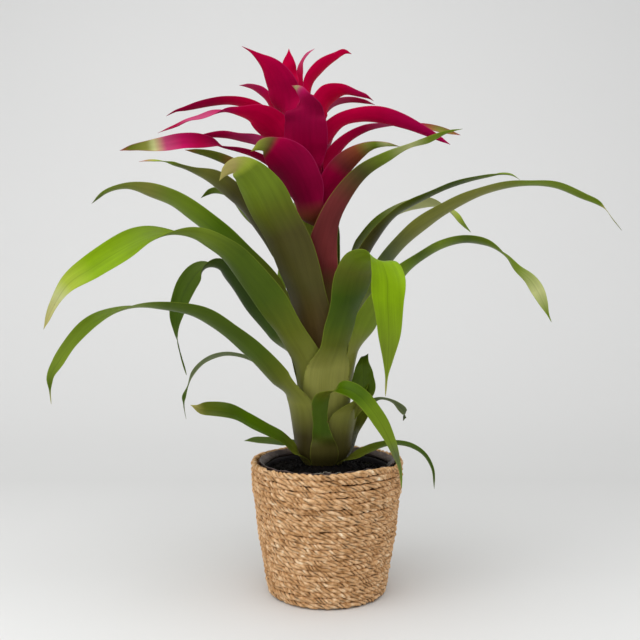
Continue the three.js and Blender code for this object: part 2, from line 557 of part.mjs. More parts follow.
// A leaf's stations: the foot of its sheath curves in to the stem like the layer of an onion.
function leafStations({ shell, clasp, path }) {
  const [x, y, z] = path[0];
  const facing = Math.atan2(y, x - plantX(z));
  const wrap = 2 * THREE.MathUtils.degToRad(clasp);
  const held = (out, height) => [
    PLANT_X + out * Math.cos(facing),
    out * Math.sin(facing),
    height,
    wrap * out,
    0,
    1,
  ];
  const start = Math.asin((STALK_RADIUS + 1) / shell);
  const foot = [start, (start + Math.PI / 2) / 2, Math.PI / 2].map((polar) => (
    held(shell * Math.sin(polar), SHEATH_BOWL - shell * Math.cos(polar))
  ));
  const neck = SHEATH_BOWL + SHEATH_NECK;
  const out = Math.hypot(x - plantX(z), y);
  foot.push(held(shell + 0.5, neck));
  if (z - neck > 50) foot.push(held(mix(shell, out, 0.4), mix(neck, z, 0.5)));
  return [...foot, ...path.map((station, i) => [...station, i === 0 ? 1 : 0])];
}

// A bract's stations: its foot clasps the stalk.
function bractStations({ from, path }) {
  const [x, y, z] = path[0];
  const facing = Math.atan2(y, x - plantX(z));
  const out = stalkRadius(from) + 1;
  const foot = [plantX(from) + out * Math.cos(facing), out * Math.sin(facing), from, 1.3 * out, 0, 1];
  return [foot, ...path.map((station, i) => [...station, i === 0 ? 0.6 : 0])];
}

const plant = new THREE.Group();
plant.name = "potted_bromeliad";
plant.add(node("basket", basket(), COLOURS.basket));
plant.add(node("basket_liner", liner(), COLOURS.liner));
plant.add(node("nursery_pot", nurseryPot(), COLOURS.pot));
plant.add(node("soil", soil(), COLOURS.soil));
plant.add(node("stem", stem(), COLOURS.stem));
for (const leaf of LEAVES) {
  const stations = leafStations(leaf);
  const rings = stations.length + 2;
  const sections = bladeSections(stations, rings, LEAF_CUP);
  const colour = leaf.shell < 17 ? COLOURS.innerLeaf : COLOURS.leaf;
  plant.add(node(`leaf_${leaf.name}`, blade(sections, LEAF_THICKNESS), colour));
}
for (const bract of BRACTS) {
  const stations = bractStations(bract);
  const rings = stations.length + 2;
  const sections = bladeSections(stations, rings, BRACT_CUP);
  plant.add(node(`bract_${bract.name}`, blade(sections, BRACT_THICKNESS), COLOURS.bract));
}

export default plant;
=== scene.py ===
# %% [markdown]
# # A potted bromeliad in a seagrass basket
#
# The real thing is a rosette of strap leaves whose feet clasp one another like the layers of an
# onion, with a spike of crimson bracts in the middle. It grows in a black plastic pot, and the pot
# stands in a basket that is wound from seagrass rope and lined with dark film.
#
# The solid model is loaded first and is never changed. Every visible piece below is worked out
# in the same place and stands for the solids that it names. Lengths are in millimetres until
# they go into a mesh, and the frame's origin is the middle of the basket's underside.

import math

import bpy
import numpy as np
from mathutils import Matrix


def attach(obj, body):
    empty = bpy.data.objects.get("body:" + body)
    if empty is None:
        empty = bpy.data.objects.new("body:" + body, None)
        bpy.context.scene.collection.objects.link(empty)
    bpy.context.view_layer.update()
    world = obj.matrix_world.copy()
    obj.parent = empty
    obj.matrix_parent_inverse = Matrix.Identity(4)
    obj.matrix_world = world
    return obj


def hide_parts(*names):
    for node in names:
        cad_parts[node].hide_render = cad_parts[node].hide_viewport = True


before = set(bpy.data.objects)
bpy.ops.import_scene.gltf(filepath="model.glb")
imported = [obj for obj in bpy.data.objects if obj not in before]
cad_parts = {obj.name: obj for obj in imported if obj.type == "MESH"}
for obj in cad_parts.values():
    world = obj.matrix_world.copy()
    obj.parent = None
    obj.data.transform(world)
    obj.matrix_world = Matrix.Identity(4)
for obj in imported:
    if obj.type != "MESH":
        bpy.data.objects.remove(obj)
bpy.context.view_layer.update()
MM = 0.001
TURN = 2 * np.pi
print("solids:", len(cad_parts))

# %% [markdown]
# ## Camera
#
# The picture was taken from 80 cm away, a little above the flower's middle, looking slightly
# down. The focal length is given in pixels of the 640-pixel frame, and the sensor width turns it
# into millimetres. Setting the camera first lets every later choice be judged in its own place.

# %% Camera
FRAME_PIXELS, FOCAL_PIXELS = 640, 821
SENSOR_WIDTH = 36
CAMERA_PLACE = (-0.0068, -0.800, 0.298)  # metres
LOOK_DOWN = 2.35  # degrees

camera_data = bpy.data.cameras.new("camera")
camera_data.sensor_width = SENSOR_WIDTH
camera_data.lens = SENSOR_WIDTH * FOCAL_PIXELS / FRAME_PIXELS
camera = bpy.data.objects.new("camera", camera_data)
camera.location = CAMERA_PLACE
camera.rotation_euler = (math.radians(90 - LOOK_DOWN), 0, 0)
bpy.context.scene.collection.objects.link(camera)
bpy.context.scene.camera = camera
bpy.context.scene.view_settings.view_transform = "Standard"
print("lens:", round(camera_data.lens, 2), "mm")

# %% [markdown]
# ## Meshes from arrays
#
# Each piece is a surface worked out with numpy: a grid of points, and rows of quads between
# them. Whole arrays go into the mesh at once, which is quicker and shorter than adding faces one
# by one. A named float or colour can be stored at each point for the material to read.

# %% Mesh helpers
def grid_quads(rows, columns, close_rows=False, close_columns=False):
    """Quads between neighbours of a rows x columns grid of points; a closed way wraps round."""
    r = np.arange(rows if close_rows else rows - 1)[:, None]
    c = np.arange(columns if close_columns else columns - 1)[None, :]
    r2, c2 = (r + 1) % rows, (c + 1) % columns
    corners = [r * columns + c, r2 * columns + c, r2 * columns + c2, r * columns + c2]
    return np.stack([k + 0 * (r + c) for k in corners], axis=-1).reshape(-1, 4)


def tube_faces(rings, sides):
    """Quads round a straight run of rings, and a cap over each end."""
    ring = np.arange(sides)[None, :]
    return [grid_quads(rings, sides, False, True), ring, (rings - 1) * sides + ring[:, ::-1]]


def mesh_piece(name, points_mm, faces, finish, replaced=(), values=None):
    """A mesh object from points in millimetres and arrays of faces, ridden and finished."""
    mesh = bpy.data.meshes.new(name)
    points = np.asarray(points_mm, np.float32) * MM
    mesh.vertices.add(len(points))
    mesh.vertices.foreach_set("co", points.ravel())
    sizes = np.concatenate([np.full(len(f), f.shape[1]) for f in faces]).astype(np.int32)
    starts = np.concatenate([[0], np.cumsum(sizes)[:-1]]).astype(np.int32)
    corners = np.concatenate([f.ravel() for f in faces]).astype(np.int32)
    mesh.loops.add(len(corners))
    mesh.loops.foreach_set("vertex_index", corners)
    mesh.polygons.add(len(sizes))
    mesh.polygons.foreach_set("loop_start", starts)
    mesh.polygons.foreach_set("loop_total", sizes)
    mesh.update(calc_edges=True)
    mesh.shade_smooth()
    for key, value in (values or {}).items():
        value = np.asarray(value, np.float32)
        if value.ndim == 2:
            colour = np.concatenate([value, np.ones((len(value), 1), np.float32)], axis=1)
            mesh.attributes.new(key, "FLOAT_COLOR", "POINT").data.foreach_set("color", colour.ravel())
        else:
            mesh.attributes.new(key, "FLOAT", "POINT").data.foreach_set("value", value)
    piece = bpy.data.objects.new(name, mesh)
    bpy.context.scene.collection.objects.link(piece)
    mesh.materials.append(finish)
    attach(piece, "root")
    if replaced:
        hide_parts(*replaced)


def join_parts(parts):
    """Several (points, faces, values) put together as one."""
    start = np.cumsum([0] + [len(p[0]) for p in parts])
    points = np.concatenate([p[0] for p in parts])
    faces = [f + s for p, s in zip(parts, start) for f in p[1]]
    values = {k: np.concatenate([p[2][k] for p in parts]) for k in parts[0][2]}
    return points, faces, values


# %% Small sums
def unit(v):
    return v / np.maximum(np.linalg.norm(v, axis=-1, keepdims=True), 1e-9)


def blend(a, b, t):
    return a + (b - a) * t


def smooth_step(t, low, high):
    """0 below low, 1 above high, and a soft S between."""
    t = np.clip((t - low) / (high - low), 0, 1)
    return t * t * (3 - 2 * t)


def round_angles(count):
    """Even angles once round, without the last that would meet the first."""
    return np.linspace(0, TURN, count, endpoint=False)


def wander(angle, seed, lowest=1, count=5):
    """A wavy line that closes on itself: a few sines of whole frequencies with random phases."""
    random = np.random.default_rng(seed)
    total = 0
    for k in range(count):
        total = total + random.normal() * np.sin((lowest + k) * angle + random.uniform(0, TURN))
    return total / math.sqrt(count)


# %% [markdown]
# ## Shader maths as sums
#
# A wire wraps one output of a shader node. Adding or multiplying wires makes the Math nodes, so
# that a finish reads like a formula. A bench makes a material with one Principled shader and the
# few kinds of node that the finishes below use.

# %% Wires
class Wire:
    """One socket of a shader tree that sums can be written with."""

    def __init__(self, bench, socket):
        self.bench, self.socket = bench, socket

    def math(self, operation, *others, first=None):
        values = [self, *others] if first is None else [first, self]
        return self.bench.node("ShaderNodeMath", {"operation": operation}, dict(enumerate(values)))

    def __add__(self, other):
        return self.math("ADD", other)

    def __sub__(self, other):
        return self.math("SUBTRACT", other)

    def __rsub__(self, other):
        return self.math("SUBTRACT", first=other)

    def __mul__(self, other):
        return self.math("MULTIPLY", other)

    __radd__ = __add__
    __rmul__ = __mul__

    def between(self, low, high):
        """0 at low and 1 at high, with a soft S between; low may be the larger."""
        return self.bench.node(
            "ShaderNodeMapRange",
            {"interpolation_type": "SMOOTHSTEP"},
            {"Value": self, "From Min": low, "From Max": high},
        )


# %% Benches
class Bench:
    """A material with a Principled shader, and the nodes that feed it."""

    def __init__(self, name, **constants):
        self.material = bpy.data.materials.new(name)
        self.material.use_nodes = True
        self.tree = self.material.node_tree
        self.shader = self.tree.nodes["Principled BSDF"]
        for key, value in constants.items():
            self.shader.inputs[key.replace("_", " ")].default_value = value

    def node(self, kind, settings=None, sockets=None, output=0):
        """Any node: its settings first, then the values or wires of its sockets."""
        made = self.tree.nodes.new(kind)
        for key, value in (settings or {}).items():
            if key == "stops":
                self.set_stops(made.color_ramp, value)
            else:
                setattr(made, key, value)
        for key, value in (sockets or {}).items():
            self.feed(made.inputs[key], value)
        return Wire(self, made.outputs[output])

    def feed(self, socket, value):
        if isinstance(value, Wire):
            self.tree.links.new(value.socket, socket)
        else:
            socket.default_value = value

    @staticmethod
    def set_stops(ramp, stops):
        while len(ramp.elements) < len(stops):
            ramp.elements.new(0.5)
        for element, (place, colour) in zip(ramp.elements, stops):
            element.position = place
            element.color = (*colour, 1)

    def wear(self, **sockets):
        """Links what changes over the surface to the shader."""
        for key, value in sockets.items():
            self.feed(self.shader.inputs[key.replace("_", " ")], value)
        return self.material

    def stored(self, name, colour=False):
        """A value that the mesh stores at each point."""
        return self.node("ShaderNodeAttribute", {"attribute_name": name}, output=0 if colour else 2)

    def place(self):
        """The point's own coordinates in metres."""
        return self.node("ShaderNodeTexCoord", output=3)

    def vector(self, x, y, z):
        return self.node("ShaderNodeCombineXYZ", None, {0: x, 1: y, 2: z})

    def noise(self, vector, scale, detail, roughness=0.5):
        """Cloudy noise with scale swells to a unit of the vector and detail finer layers."""
        sockets = {"Vector": vector, "Scale": scale, "Detail": detail, "Roughness": roughness}
        return self.node("ShaderNodeTexNoise", None, sockets)

    def cells(self, vector, scale):
        return self.node("ShaderNodeTexVoronoi", None, {"Vector": vector, "Scale": scale})

    def ramp(self, wire, stops):
        return self.node("ShaderNodeValToRGB", {"stops": stops}, {0: wire})

    def hex_ramp(self, wire, codes):
        """A ramp through #rrggbb codes, each at its place from 0 to 1."""
        return self.ramp(wire, [(at, from_hex(code)) for at, code in codes.items()])

    def mix(self, factor, a, b):
        """Colour a turning into colour b."""
        settings = {"data_type": "RGBA", "blend_type": "MIX"}
        rgba = [v if isinstance(v, Wire) else (*v, 1) for v in (a, b)]
        return self.node("ShaderNodeMix", settings, {0: factor, 6: rgba[0], 7: rgba[1]}, output=2)

    def shaded(self, colour, amount):
        """A colour made lighter or darker by a number."""
        settings = {"operation": "SCALE"}
        return self.node("ShaderNodeVectorMath", settings, {0: colour, 3: amount})

    def bump(self, height, distance_mm, strength=1.0):
        sockets = {"Height": height, "Distance": distance_mm * MM, "Strength": strength}
        return self.node("ShaderNodeBump", None, sockets)


def from_hex(code):
    """The linear colour of a #rrggbb code."""
    value = np.array([int(code[i:i + 2], 16) / 255 for i in (1, 3, 5)])
    linear = np.where(value <= 0.04045, value / 12.92, ((value + 0.055) / 1.055) ** 2.4)
    return tuple(float(v) for v in linear)


# %% [markdown]
# ## Floor and light
#
# The plant stands on a white sweep that curves up behind it, in the even light of a bright room: a pale
# sky from everywhere, with a wide soft lamp above and a weaker one at the left. The paper is painted
# greyer on the floor round and behind the basket, greyest just before the bend, as painted shade, so
# that the wall has no line at its foot. Nothing here belongs to the object.

# %% Sweep
SWEEP_HALF_WIDTH, SWEEP_FRONT, SWEEP_TOP = 9000, -9000, 6000
BEND_START, BEND_RADIUS, WALL_DEPTH = 700, 1800, 2500
GREY_LEAD, GREY_SPAN = 0.1, 2.5  # metres: the grey changes from this far in front, over this depth
# painted shade: the paper's grey by depth, darker on the floor round and behind the basket
PAINTED_SHADE_GREYS = [
    (0, 0.75), (0.06, 0.69), (0.15, 0.64), (0.22, 0.61), (0.45, 0.68), (0.65, 0.73), (0.85, 0.77),
    (1, 0.79),
]


def sweep():
    """A floor that bends up into a wall: a quarter circle joins the two flat stretches."""
    bend = np.linspace(0, np.pi / 2, 40)
    depth = np.concatenate([[SWEEP_FRONT], BEND_START + BEND_RADIUS * np.sin(bend), [WALL_DEPTH]])
    height = np.concatenate([[0], BEND_RADIUS - BEND_RADIUS * np.cos(bend), [SWEEP_TOP]])
    points = [(x, y, z) for y, z in zip(depth, height) for x in (-SWEEP_HALF_WIDTH, SWEEP_HALF_WIDTH)]
    paint = Bench("white_sweep", Roughness=0.9, Specular_IOR_Level=0.1)
    back = paint.node("ShaderNodeSeparateXYZ", None, {0: paint.place()}, output=1)
    grey = paint.ramp((back + GREY_LEAD) * (1 / GREY_SPAN), [(at, (g, g, g - 0.01)) for at, g in PAINTED_SHADE_GREYS])
    paint.wear(Base_Color=grey)
    mesh = bpy.data.meshes.new("sweep")
    faces = grid_quads(len(depth), 2)[:, ::-1]
    mesh.from_pydata((np.array(points) * MM).tolist(), [], faces.tolist())
    mesh.materials.append(paint.material)
    mesh.shade_smooth()
    floor = bpy.data.objects.new("sweep", mesh)
    bpy.context.scene.collection.objects.link(floor)


sweep()
print("sweep ready")


# %% Lamps and sky
def lamp(name, place, target, size, watts):
    """A square soft lamp in metres that faces the target."""
    data = bpy.data.lights.new(name, "AREA")
    data.size = size
    data.energy = watts
    light = bpy.data.objects.new(name, data)
    light.location = place
    away = np.array(target) - np.array(place)
    flat = math.hypot(away[0], away[1])
    light.rotation_euler = (math.atan2(flat, -away[2]), 0, math.atan2(-away[0], away[1]))
    bpy.context.scene.collection.objects.link(light)


lamp("ceiling", (-0.3, -0.5, 2.2), (0, 0, 0.25), size=2.8, watts=40)
lamp("window", (-2.0, -1.4, 1.2), (0, 0, 0.3), size=1.8, watts=8)
world = bpy.data.worlds.new("room")
world.use_nodes = True
sky = world.node_tree.nodes["Background"].inputs
sky["Color"].default_value = (0.98, 0.985, 1.0, 1)
sky["Strength"].default_value = 0.66
bpy.context.scene.world = world
print("lamps and sky ready")

# %% [markdown]
# ## What shape a leaf is
#
# A strap leaf is one long thin blade. Low down it is a sheath that clasps the plant, so its
# section is part of a ring about the plant's middle. Further out it is a shallow gutter that
# arches over, turns about its own middle line and narrows to a point. It could be modelled from
# a flat strip with modifiers, but a surface with two parameters, along the leaf and across it,
# lets each leaf follow a few stations: a place, a width and a roll. The stations are those of
# the solid model, so each leaf lies just where its solid does. Only at the soil is the bundle of
# sheaths drawn in, as a plant's foot is narrower than its rosette.

# %% Names for the colours of leaves and bracts
SHADES = {
    "soot": "#201c0e", "bark": "#3f391b", "umber": "#5e4a28", "rust": "#86452c",
    "bronze": "#4c4820", "khaki": "#7b7d36", "sage": "#8e8e46", "slate": "#5a6440",
    "olive": "#5a6219", "forest": "#2a3c08", "pine": "#3a510a", "moss": "#475b12",
    "grass": "#4a6602", "fern": "#6c8020", "leaf": "#667f14", "lime": "#7e9f0a",
    "apple": "#9cac38", "pale": "#b4b87a", "straw": "#b0a460", "wine": "#742d2e",
    "mulberry": "#850434", "plum": "#9a0038", "crimson": "#b0003a", "scarlet": "#c80040",
    "magenta": "#a6064a", "berry": "#ae1052", "rose": "#b8346c", "pink": "#b4446c",
}
SHADES = {name: np.array(from_hex(code)) for name, code in SHADES.items()}
print("shades:", len(SHADES))

# %% The plant's middle line
PLANT_X = -4  # the plant stands a little left of the basket's middle
STALK_RADIUS, STALK_TOP_RADIUS = 6, 3
STALK_THINS, STALK_TOP = 400, 466  # heights
LEAN_FROM, LEAN_REACH, LEAN_HEIGHT = 300, 33, 220  # where it starts to lean, how far, over what rise


def plant_x(z):
    """The stalk leans left as the square of the height above the place where it starts to lean."""
    rise = np.maximum(0, z - LEAN_FROM) / LEAN_HEIGHT
    return PLANT_X - LEAN_REACH * rise * rise


def stalk_radius(z):
    thin = np.clip((z - STALK_THINS) / (STALK_TOP - STALK_THINS), 0, 1)
    return blend(STALK_RADIUS, STALK_TOP_RADIUS, thin)


print("the stalk's top is at", round(float(plant_x(STALK_TOP)), 1), "mm")


# %% A smooth curve through stations
def along_stations(rows, places):
    """Cubic between rows; the slope at a row is the mean of both sides, weighed by nearness."""
    gaps = np.linalg.norm(np.diff(rows[:, :3], axis=0), axis=1)
    steps = np.diff(rows, axis=0) / gaps[:, None]
    before, after = gaps[:-1, None], gaps[1:, None]
    middle = (steps[:-1] * after + steps[1:] * before) / (before + after)
    slopes = np.vstack([steps[:1], middle, steps[-1:]])
    i = np.clip(places.astype(int), 0, len(rows) - 2)
    t = (places - i)[:, None]
    span = gaps[i][:, None]
    leave, arrive = span * slopes[i], span * slopes[i + 1]
    gain = rows[i + 1] - rows[i]
    return rows[i] + t * (leave + t * (3 * gain - 2 * leave - arrive + t * (leave + arrive - 2 * gain)))


FINE_STEPS, FEWEST_RINGS = 40, 8


def even_places(stations, step):
    """Places along the stations that are about step millimetres apart, and their distances."""
    fine = np.linspace(0, len(stations) - 1, FINE_STEPS * len(stations))
    points = along_stations(stations, fine)[:, :3]
    length = np.concatenate([[0], np.cumsum(np.linalg.norm(np.diff(points, axis=0), axis=1))])
    wanted = np.linspace(0, length[-1], max(FEWEST_RINGS, int(length[-1] / step)))
    return np.interp(wanted, length, fine), wanted


# %% [markdown]
# ## The skin of a blade
#
# Every point of the blade's middle skin has a place along the stations and a share across, from
# -1 at one edge to 1 at the other. The gutter's section is an arc square to the middle line and
# the sheath's is an arc about the plant, and the two are blended by how firmly the blade is held.

# %% Section of a blade
ACROSS = np.array([0, 0.12, 0.25, 0.38, 0.52, 0.66, 0.8, 0.91, 0.975, 1])
ACROSS = np.concatenate([-ACROSS[:0:-1], ACROSS])  # from one edge to the other
LEAST_WIDTH = 0.8
TIP_LENGTH, TIP_END = 9, 0.004  # the last stretch is drawn in to the point, but not quite shut
NUDGE = 0.02  # how far ahead and behind the direction is taken, in stations
RIPPLE_STARTS, RIPPLE_FULL, RIPPLE_HALF_WIDTH = 60, 140, 6  # a narrow blade ripples less
SHORT_WAVE, LONG_WAVE, SHORT_SHARE = 7.5, 17, 0.6


def ripples(lengths, half, ripple, seed):
    """How far each point is lifted: two sines of the length at each edge, fading to the middle."""
    phase = np.random.default_rng(seed).uniform(0, TURN, 4)
    free = smooth_step(lengths, RIPPLE_STARTS, RIPPLE_FULL) * np.clip(half / RIPPLE_HALF_WIDTH, 0, 1)
    short = [np.sin(lengths / SHORT_WAVE + p) * SHORT_SHARE for p in phase[:2]]
    left, right = [s + np.sin(lengths / LONG_WAVE + p) for s, p in zip(short, phase[2:])]
    edge = np.where(ACROSS < 0, left[:, None], right[:, None]) * np.abs(ACROSS) ** 3
    return ripple * free[:, None] * edge


def blade_skin(stations, places, lengths, cup, ripple, seed):
    """Points of the blade's middle skin, and half its width at each place. Gutter point = middle
    line + half width * sin(cup * u) / cup sideways + half width * (mean of 1 and cos(cup), less
    cos(cup * u)) / cup upwards, both turned by the roll, u being the share across and cup half the
    angle that the arc bends through. Ring point = as far from the plant's middle as the middle
    line, and u * half width round from it. Grip blends the two."""
    last = len(stations) - 1
    x, y, z, width, roll, hold = along_stations(stations, places).T
    ahead = along_stations(stations, np.minimum(places + NUDGE, last))[:, :3]
    behind = along_stations(stations, np.maximum(places - NUDGE, 0))[:, :3]
    along = unit(ahead - behind)
    level = np.stack([x - plant_x(z), y, 0 * z], axis=1)
    out = np.linalg.norm(level, axis=1)
    facing = np.arctan2(y, x - plant_x(z))
    lead = 0.25 * unit(level) + along * [1, 1, 0]  # steady where the blade stands upright
    side = np.cross([0, 0, 1], lead)
    side = unit(side - along * np.sum(side * along, axis=1)[:, None])
    turn = np.radians(roll)[:, None]
    side = side * np.cos(turn) + np.cross(along, side) * np.sin(turn)
    up = np.cross(along, side)
    to_tip = lengths[-1] - lengths
    half = np.maximum(width, LEAST_WIDTH) / 2 * np.sqrt(np.clip(to_tip / TIP_LENGTH, TIP_END, 1))
    u = ACROSS[None, :, None]
    h = half[:, None, None]
    rise = h * (0.5 + 0.5 * math.cos(cup) - np.cos(cup * u)) / cup
    rise = rise + ripples(lengths, half, ripple, seed)[..., None]
    middle = np.stack([x, y, z], axis=1)[:, None]
    gutter = middle + side[:, None] * h * np.sin(cup * u) / cup + up[:, None] * rise
    angle = facing[:, None] + ACROSS[None, :] * half[:, None] / out[:, None]
    ring_x = plant_x(z)[:, None] + out[:, None] * np.cos(angle)
    ring = np.stack([ring_x, out[:, None] * np.sin(angle), z[:, None] + 0 * angle], axis=-1)
    grip = np.clip(hold, 0, 1)[:, None, None]
    return gutter * (1 - grip) + ring * grip, half


print("points across a blade:", len(ACROSS))

# %% The plant's narrow foot
FOOT_PINCH = 0.34  # share by which it narrows
FOOT_RADIUS, FOOT_REACH = 26, 46  # in full this near to the stalk, and not at all beyond
FOOT_HEIGHT, FOOT_TOP = 118, 140  # and the same by height


def pinched(points):
    """The plant's foot narrows to the soil: low points near the stalk are drawn in towards it."""
    x, y, z = np.moveaxis(points, -1, 0)
    near = 1 - smooth_step(np.hypot(x - PLANT_X, y), FOOT_RADIUS, FOOT_REACH)
    draw = 1 - FOOT_PINCH * near * (1 - smooth_step(z, FOOT_HEIGHT, FOOT_TOP))
    return np.stack([PLANT_X + (x - PLANT_X) * draw, y * draw, z], axis=-1)


# %% A closed blade
EDGE_THINS = 0.55  # share by which a blade is thinner at its edges
EDGE_ENDS, EDGE_ROUNDS = 1.03, 0.1  # where the edge would be nil, and over what share it rounds
NARROW, LEAST_SHARE = 3, 0.3  # below this half width a blade is thinner, down to this share


def tone_rows(tones, rows):
    """The colour at each place, blended between the named shades at the rows that have one."""
    keys = sorted(tones)
    table = np.array([SHADES[tones[k]] for k in keys])
    return np.stack([np.interp(rows, keys, table[:, c]) for c in range(3)], axis=1)


def rim_faces(rings, columns):
    """Bands of quads that join the upper grid to the lower one along the four edges."""
    count = rings * columns
    grid = np.arange(count).reshape(rings, columns)
    bands = []
    for line, flip in ((grid[:, 0], 1), (grid[:, -1], -1), (grid[0], -1), (grid[-1], 1)):
        band = np.stack([line[:-1], line[:-1] + count, line[1:] + count, line[1:]], axis=1)
        bands.append(band[:, ::flip])
    return bands


def blade_parts(stations, first_row, plan, shape, seed):
    """A closed blade: its middle skin moved out to both sides along its normals. It is thinner
    towards its rounded edges and its point, and each point stores what the finish reads."""
    places, lengths = even_places(stations, shape["step"])
    skin, half = blade_skin(stations, places, lengths, shape["cup"], plan["ripple"], seed)
    skin = pinched(skin)
    rings, columns = skin.shape[:2]
    normal = unit(np.cross(np.gradient(skin, axis=0), np.gradient(skin, axis=1)))
    edge = np.abs(ACROSS)[None, :]
    rounded = np.sqrt(np.clip((EDGE_ENDS - edge) / EDGE_ROUNDS, 0, 1))
    depth = shape["thickness"] * (1 - EDGE_THINS * edge ** 2) * rounded / 2
    depth = depth * np.clip(half / NARROW, LEAST_SHARE, 1)[:, None]
    upper, lower = skin + normal * depth[..., None], skin - normal * depth[..., None]
    points = np.concatenate([upper.reshape(-1, 3), lower.reshape(-1, 3)])
    sheet = grid_quads(rings, columns)
    count = rings * columns
    faces = [sheet, sheet[:, ::-1] + count, *rim_faces(rings, columns)]
    tone = [tone_rows(plan[face], places - first_row) for face in ("inner", "tones")]
    values = {
        "shade": np.concatenate([np.repeat(t, columns, axis=0) for t in tone]),
        "across": np.tile((half[:, None] * ACROSS[None, :]).ravel(), 2),
        "margin": np.tile((half[:, None] * (1 - edge)).ravel(), 2),
        "along": np.tile(np.repeat(lengths, columns), 2),
        "inside": np.repeat([1.0, 0.0], count),
    }
    return points, faces, values


# %% [markdown]
# ## The stations of every leaf and bract
#
# Each row is a place on the middle line (x, y, z in millimetres), the width there and the roll in
# degrees. The rows of the blades that are seen in the picture were marked on it by eye, with a
# guessed depth, and a helper script turned most of the marks into these millimetres with the
# camera above. The blades on the far side were written down in millimetres. The shades are named
# at some of the rows, counted from 0 at the first and negative in the sheath, and are blended
# between them.

# %% How a leaf or a bract is written down
def shade_steps(text):
    """The rows and the shades in a text such as "0 olive, 2.5 fern"."""
    return {float(row): shade for row, shade in (step.split() for step in text.split(", "))}


def leaf(shell, clasp, tones, path, ripple=0.5, inner=None):
    """A leaf: the radius of its sheath's layer, half the angle that it clasps, its shades and
    stations, how far its edges ripple, and the shades of its upper face where they differ."""
    return dict(
        shell=shell, clasp=clasp, tones=shade_steps(tones), path=path, ripple=ripple,
        inner=shade_steps(inner or tones),
    )


def bract(base, tones, path, ripple=0.35):
    """A bract: the height at which it leaves the stalk, and the same as for a leaf."""
    steps = shade_steps(tones)
    return dict(base=base, tones=steps, inner=steps, path=path, ripple=ripple)


